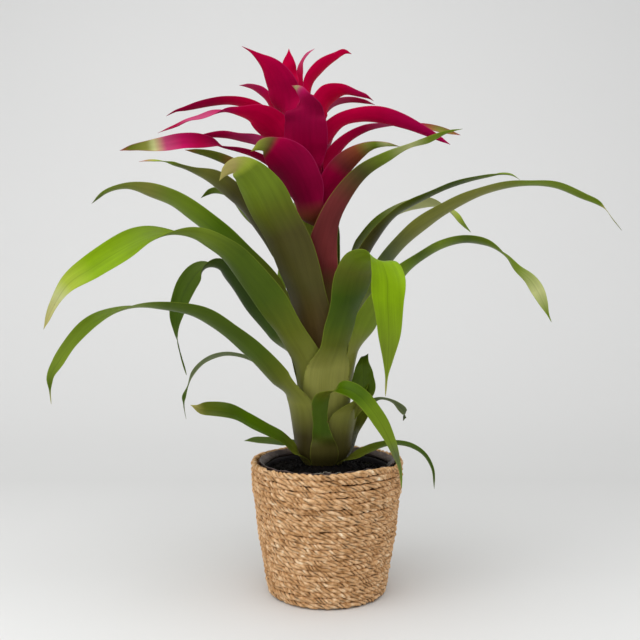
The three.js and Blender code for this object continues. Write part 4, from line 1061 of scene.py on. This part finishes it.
def rope_row(row, radius, height, lift=0.0, calm=1.0):
    """Three strands about a ring. Point = the ring's middle + orbit at the twist's angle + strand
    radius at the angle round the strand, both in the upright plane through the basket's axis.
    lift raises a short stretch of the row, and calm scales how far the row wanders."""
    angle = round_angles(int(TURN * radius / RING_STEP))
    turns = max(1, round(TURN * radius / LAY) + row % 3)
    out = radius + OUT_SWAY * calm * wander(angle, 40 + row, 3, 9)
    up = height + UP_SWAY * calm * wander(angle, 90 + row, 1, 14) + lift * rim_bump(angle)
    slip = SLIP * wander(angle, 60 + row, 2, 20)
    around = round_angles(STRAND_SIDES)
    parts = []
    for strand in range(STRANDS):
        seed = 1000 + row * STRANDS + strand
        twist = TURN * strand / STRANDS + NEXT_ROW_TWIST * row - turns * angle + slip
        swell = STRAND_RADIUS * (1 + 0.2 * wander(angle, seed + 500, 9, 40))[:, None]
        x_out = STRAND_ORBIT * np.cos(twist)[:, None] + swell * np.cos(around)
        x_up = 1.15 * STRAND_ORBIT * np.sin(twist)[:, None] + 0.95 * swell * np.sin(around)
        r = out[:, None] + x_out
        way = angle[:, None]
        points = np.stack([r * np.cos(way), r * np.sin(way), up[:, None] + x_up], axis=-1)
        faces = grid_quads(len(angle), STRAND_SIDES, True, True)
        straw = 0.5 + 0.22 * wander(angle, seed + 900, 3, 14)
        straw = straw + 0.16 * wander(angle, seed + 700, 20, 20)
        reach = np.hypot(x_out, x_up).ravel() / (STRAND_RADIUS + STRAND_ORBIT)
        values = {
            "straw": np.repeat(straw, STRAND_SIDES),
            "reach": np.clip(reach, 0, 1.2),
            "run": np.repeat(angle * radius, STRAND_SIDES) + 37.0 * strand + 211.0 * row,
            "round": np.tile(around * STRAND_RADIUS, len(angle)),
        }
        parts.append((points.reshape(-1, 3), [faces], values))
    return join_parts(parts)


# %% [markdown]
# ## Colour of the rope
#
# Dried seagrass runs from brown through tan to cream, and its fibres lie along the strand. The mesh
# stores the length along the strand and the way round it, so the fibre noise can be stretched along
# each strand. Points deep between the strands are painted darker and the strands' crowns a little
# lighter, as painted shade and light.

# %% Finish of the rope
rope = Bench("seagrass", Roughness=0.8, Specular_IOR_Level=0.25)
straw, reach = rope.stored("straw"), rope.stored("reach")
run, around = rope.stored("run"), rope.stored("round")
fibre = rope.noise(rope.vector(run * 0.12, around * 1.5, 0), 1.0, 4, 0.6)
patch = rope.noise(rope.place(), 60.0, 3)
hump = rope.noise(rope.place(), 260.0, 2)
level = straw * 0.45 + fibre * 0.5 + (patch - 0.5) * 0.4 + (hump - 0.5) * 0.9
grass = rope.hex_ramp(level, {
    0.12: "#8e6438", 0.34: "#be9060", 0.54: "#d6ac7e", 0.72: "#e8c69c", 0.92: "#faecd0",
})
# painted shade and light: darker deep between the strands, a little lighter on their crowns
painted_depth_light = 0.34 + reach.between(0.35, 0.95) * 0.78
rope.wear(Base_Color=rope.shaded(grass, painted_depth_light), Normal=rope.bump(fibre, 0.5, 0.8))
print("finish:", rope.material.name)

# %% [markdown]
# ## The basket's pieces
#
# The rows below the collar, the collar and the underside are separate pieces, because an object of
# more than 200,000 triangles is thinned when it is exported. A plain wall behind the rows closes the
# gaps between them; it is dark brown as painted shade for the depth of those gaps.

# %% Wind the basket
FIRST_ROW, LAST_ROW = 3.85, 3.3  # the middle of a row from the foot, and from the rim
RIM_LIFTS = {1: 2.6, 2: 1.6, 3: 0.7}  # by how much the last rows rise at the bump, from the top
FOOT_INSET, FOOT_CALM = 1.0, 0.3  # the first row is drawn in and lies flat


def rope_piece(name, rows):
    points, faces, values = join_parts(rows)
    mesh_piece(name, points, faces, rope.material, ["basket"], values)
    print(name, "faces:", sum(len(f) for f in faces))


heights = np.linspace(FIRST_ROW, BASKET_HEIGHT - LAST_ROW, round(BASKET_HEIGHT / ROPE_PITCH))
wall_rows, collar_rows = [], []
for row, height in enumerate(heights):
    if height > BASKET_HEIGHT - COLLAR_DEPTH:
        lift = RIM_LIFTS.get(len(heights) - row, 0.0)
        collar_rows.append(rope_row(row, row_radius(height), height, lift))
    else:
        inset, calm = (FOOT_INSET, FOOT_CALM) if row == 0 else (0.0, 1.0)
        wall_rows.append(rope_row(row, row_radius(height) - inset, height, 0.0, calm))
half_way = len(wall_rows) // 2
rope_piece("rope_lower", wall_rows[:half_way])
rope_piece("rope_upper", wall_rows[half_way:])
rope_piece("rope_collar", collar_rows)
rope_piece("rope_underside", [
    rope_row(50 + i, radius, 4.0, 0.0, FOOT_CALM) for i, radius in enumerate(np.arange(7, 53, 5.2))
])


# %% A turned piece
HOLE = 0.4  # a turned outline stays this far from the axis


def turned(profile, rounds=144, change=None):
    """A closed outline of (radius, height) turned about the upright axis. change may move points,
    given their radius, angle and height."""
    outline = np.array(profile, float)
    angle = round_angles(rounds)[:, None]
    r = np.broadcast_to(outline[:, 0], (rounds, len(outline)))
    z = np.broadcast_to(outline[:, 1], (rounds, len(outline)))
    if change:
        r, z = change(r, angle + 0 * r, z)
    points = np.stack([r * np.cos(angle), r * np.sin(angle), z + 0 * r], axis=-1).reshape(-1, 3)
    return points, [grid_quads(rounds, len(outline), True, True)]


def line(start, end, count):
    """Points from start up to, but not onto, end."""
    t = np.linspace(0, 1, count, endpoint=False)[:, None]
    return [tuple(p) for p in np.array(start) + t * (np.array(end) - np.array(start))]


def cup_outline(foot_out, top_out, top, wall, foot, along_wall=24):
    """Outline of an upright cup whose floor is closed by a small disc at the axis."""
    inner_foot = (foot_out - wall, foot + wall)
    return [
        *line((HOLE, foot), (foot_out, foot), 6),
        *line((foot_out, foot), (top_out, top), along_wall),
        *line((top_out, top), (top_out - wall, top), 3),
        *line((top_out - wall, top), inner_foot, along_wall),
        *line(inner_foot, (HOLE, foot + wall), 6), (HOLE, foot + wall),
    ]


# %% Plain wall behind the rope
# painted shade: the wall is dark brown, standing for the shade deep in the gaps between rows
backing = Bench("rope_backing", Roughness=0.9)
weave = backing.noise(backing.place(), 300.0, 3)
painted_gap_shade = backing.hex_ramp(weave, {0.3: "#3c2410", 0.7: "#6a4424"})
backing.wear(Base_Color=painted_gap_shade, Normal=backing.bump(weave, 0.5))
points, faces = turned(cup_outline(foot_out=53.5, top_out=68.2, top=126, wall=1.2, foot=3.2))
mesh_piece("basket_backing", points, faces, backing.material, ["basket"])
print("backing points:", len(points))

# %% [markdown]
# ## Film liner
#
# A dark plastic film lines the basket so that it can be watered. It is thin and was pushed in by hand:
# it puckers at the rim, bulges in over the pot's lip and is wrinkled all over. The wrinkles are sines
# round the basket that grow towards the top, and the small creases are bump. The same crease noise
# paints the film lighter on the raised creases and darker in their hollows, as painted highlight and
# shade.

# %% Liner
LINER_TOP = 128.6
FOLDS_GROW = (96, 122)  # heights between which the folds grow
BULGE = 5.4  # how far the film leans in over the lip
RIDGE_HEIGHT, RIDGE_SPREAD = 124.4, 1.8  # where it does so, and over what height


def liner_folds(r, angle, z):
    """The film leans in over the pot's lip, and folds run up and down it."""
    high = smooth_step(z, *FOLDS_GROW)
    folds = 0.5 * wander(angle, 5, 9, 14) + 0.35 * wander(angle, 6, 26, 12) * np.cos(z / 2.3)
    ridge = RIDGE_HEIGHT + 0.5 * wander(angle, 8, 3, 9)
    bulge = (BULGE + 1.3 * wander(angle, 9, 3, 12)) * np.exp(-((z - ridge) / RIDGE_SPREAD) ** 2)
    pucker = 0.5 * wander(angle, 7, 12, 12) * smooth_step(z, 123, LINER_TOP)
    lift = 2.2 * rim_bump(angle) * smooth_step(z, 122, LINER_TOP)
    return r - 0.3 * high - np.abs(folds) * high - np.maximum(bulge, 0), z + pucker + lift


film = Bench("film", Roughness=0.48, Specular_IOR_Level=0.5)
crease = film.noise(film.place(), 75.0, 5, 0.65)
# painted highlight and shade: lighter where the crease noise raises the film, darker in its hollows
painted_crease_light = film.hex_ramp(crease, {0.25: "#2a2120", 0.75: "#74605a"})
film.wear(Base_Color=painted_crease_light, Normal=film.bump(crease, 2.0, 0.9), Roughness=0.4 + crease * 0.25)
outline = cup_outline(foot_out=53.4, top_out=66.9, top=LINER_TOP, wall=0.6, foot=5.3, along_wall=60)
points, faces = turned(outline, 360, liner_folds)
mesh_piece("film_liner", points, faces, film.material, ["basket_liner"])
print("liner points:", len(points))

# %% [markdown]
# ## Growing pot
#
# A thin black moulded pot with a turned-out lip. The film leans in over the lip, so that only
# the inner side of the pot's rim shows above the mix.

# %% Pot
POT_TOP, POT_FLOOR, POT_WALL = 122, 7, 1.4
POT_FOOT_RADIUS = 45


def pot_outline():
    """The outer side, the lip, the crest and the inner side, from floor to floor."""
    inside = POT_FLOOR + POT_WALL
    lip = [(63.6, POT_TOP - 5), (64.0, POT_TOP - 4), (64.0, POT_TOP - 1)]
    crest = [(63.6, POT_TOP - 0.2), (62.8, POT_TOP), (60.6, POT_TOP), (60.0, POT_TOP - 0.6)]
    return [
        *line((HOLE, POT_FLOOR), (POT_FOOT_RADIUS, POT_FLOOR), 6),
        *line((POT_FOOT_RADIUS, POT_FLOOR), (60.8, POT_TOP - 5.4), 20),
        (61.2, POT_TOP - 5.2), *lip, *crest, *line((59.8, POT_TOP - 2), (43.8, inside), 20),
        *line((43.8, inside), (HOLE, inside), 6), (HOLE, inside),
    ]


black = Bench("black_plastic", Roughness=0.5, Specular_IOR_Level=0.3)
scuff = black.noise(black.place(), 160.0, 4, 0.6)
black_colour = black.hex_ramp(scuff, {0.3: "#0c090b", 0.75: "#261a20"})
black.wear(Base_Color=black_colour, Roughness=0.4 + scuff * 0.3, Normal=black.bump(scuff, 0.15))
points, faces = turned(pot_outline())
mesh_piece("growing_pot", points, faces, black.material, ["nursery_pot"])
print("pot points:", len(points))

# %% [markdown]
# ## Potting mix
#
# Damp mix, heaped a little round the plant's foot, painted nearly black: its own dark colour, darkened
# further as painted shade inside the pot. Its surface is a disc raised by several sizes of noise;
# crumbs and bits of bark lie on it, and a few pale roots cross it.

# %% Soil
SOIL_EDGE, SOIL_HEAP = 116, 12  # height at the pot, and how much higher round the plant
HEAP_RADIUS, HEAP_Y = 40, -5
SOIL_RADIUS, SOIL_DEEP = 58.8, 96  # the mix is closed below at this height
SOIL_ROUNDS = 200


def lumps(x, y, seed):
    """Height of crumbs: products of sines of random direction, from 9 mm down to 2 mm apart."""
    random = np.random.default_rng(seed)
    total = 0 * x
    for size, tall in ((9, 0.9), (6, 0.7), (4, 0.55), (2.6, 0.4)):
        for _ in range(3):
            way, phase = random.uniform(0, np.pi), random.uniform(0, TURN, 2)
            a = x * math.cos(way) + y * math.sin(way)
            b = y * math.cos(way) - x * math.sin(way)
            turn = TURN / size
            total = total + tall * np.sin(a * turn + phase[0]) * np.sin(b * turn + phase[1]) / 1.7
    return total


def soil_height(x, y):
    heap = np.exp(-(np.hypot(x - PLANT_X, y - HEAP_Y) / HEAP_RADIUS) ** 2)
    return SOIL_EDGE + SOIL_HEAP * heap + lumps(x, y, 11)


angle = round_angles(SOIL_ROUNDS)[:, None]
radii = np.concatenate([[HOLE], np.arange(1.2, SOIL_RADIUS, 1.2), [SOIL_RADIUS]])
x, y = radii * np.cos(angle), radii * np.sin(angle)
top = np.stack([x, y, soil_height(x, y)], axis=-1)
radii = np.array([56.5, 20, HOLE])
x, y = radii * np.cos(angle), radii * np.sin(angle)
bottom = np.stack([x, y, 0 * x + SOIL_DEEP], axis=-1)
points = np.concatenate([top, bottom], axis=1)
faces = [grid_quads(SOIL_ROUNDS, points.shape[1], True, True)]
earth = Bench("potting_mix", Roughness=0.9, Specular_IOR_Level=0.12)
crumb = earth.noise(earth.place(), 260.0, 5, 0.7)
fleck = earth.cells(earth.place(), 420.0)
# the mix's own dark colour, made nearly black as painted shade inside the pot
earth_colour = earth.hex_ramp(crumb, {0.4: "#040303", 0.62: "#120c09", 0.8: "#38281a"})
lumpy = earth.bump(crumb + fleck, 0.8)
earth.wear(Base_Color=earth_colour, Normal=lumpy, Roughness=0.7 + crumb * 0.3)
mesh_piece("soil_top", points.reshape(-1, 3), faces, earth.material, ["soil"])
print("soil points:", points.shape)

# %% Crumbs on the soil
CRUMBS, CRUMB_RINGS, CRUMB_SIDES = 260, 5, 8


def crumb_parts(random):
    """A squashed ball with a ragged radius, anywhere round the plant's foot."""
    tall = np.linspace(0.15, np.pi - 0.15, CRUMB_RINGS)[:, None]
    wide = round_angles(CRUMB_SIDES)
    size = random.uniform(0.6, 1.9)
    ragged = size * (1 + 0.25 * random.normal(size=(CRUMB_RINGS, CRUMB_SIDES)))
    way, out = random.uniform(0, TURN), random.uniform(30, 57)
    x, y = out * math.cos(way), out * math.sin(way)
    stretch = random.uniform(0.6, 1.6)
    points = np.stack([
        x + ragged * np.sin(tall) * np.cos(wide) * stretch,
        y + ragged * np.sin(tall) * np.sin(wide),
        soil_height(x, y) + 0.4 + ragged * np.cos(tall) * 0.6,
    ], axis=-1)
    return points.reshape(-1, 3), tube_faces(CRUMB_RINGS, CRUMB_SIDES), {}


crumb_source = np.random.default_rng(21)
points, faces, _ = join_parts([crumb_parts(crumb_source) for _ in range(CRUMBS)])
mesh_piece("crumbs", points, faces, earth.material)
print("crumbs:", CRUMBS)

# %% [markdown]
# ## Fine roots
#
# A few pale roots lie on the mix in front of the plant. Each is a thin tube along a line that
# sways by sines. It follows the crumbs only in part, so it bridges the hollows between them.

# %% Fine roots on the soil
ROOT_POINTS, ROOT_SIDES = 40, 6
ROOTS = [  # start, end, sway, seed, radius
    ((-14, -40), (6, -34), 1.6, 31, 0.28), ((-2, -42), (14, -33), 1.3, 33, 0.22),
    ((-26, -37), (-12, -41), 1.2, 35, 0.2), ((30, -20), (46, -26), 1.4, 37, 0.2),
]


def thread(start, end, sway, seed, radius):
    """A thin tube that wanders from start to end over the soil."""
    t = np.linspace(0, 1, ROOT_POINTS)
    x = blend(start[0], end[0], t) + sway * wander(TURN * t, seed, 1, 3)
    y = blend(start[1], end[1], t) + sway * wander(TURN * t, seed + 1, 1, 3)
    z = soil_height(x, y) * 0.35 + 0.65 * np.mean(soil_height(x, y)) + 0.9
    path = np.stack([x, y, z], axis=1)
    along = unit(np.gradient(path, axis=0))
    side = unit(np.cross(along, [0, 0, 1]))
    up = np.cross(side, along)
    around = round_angles(ROOT_SIDES)[None, :, None]
    tube = path[:, None] + radius * (side[:, None] * np.cos(around) + up[:, None] * np.sin(around))
    return tube.reshape(-1, 3), tube_faces(ROOT_POINTS, ROOT_SIDES), {}


root = Bench("root", Roughness=0.7)
root_patch = root.noise(root.place(), 300.0, 2)
root.wear(Base_Color=root.mix(root_patch, from_hex("#8c8272"), from_hex("#cfc8b8")))
points, faces, _ = join_parts([thread(*r) for r in ROOTS])
mesh_piece("roots", points, faces, root.material)
print("roots:", len(ROOTS))
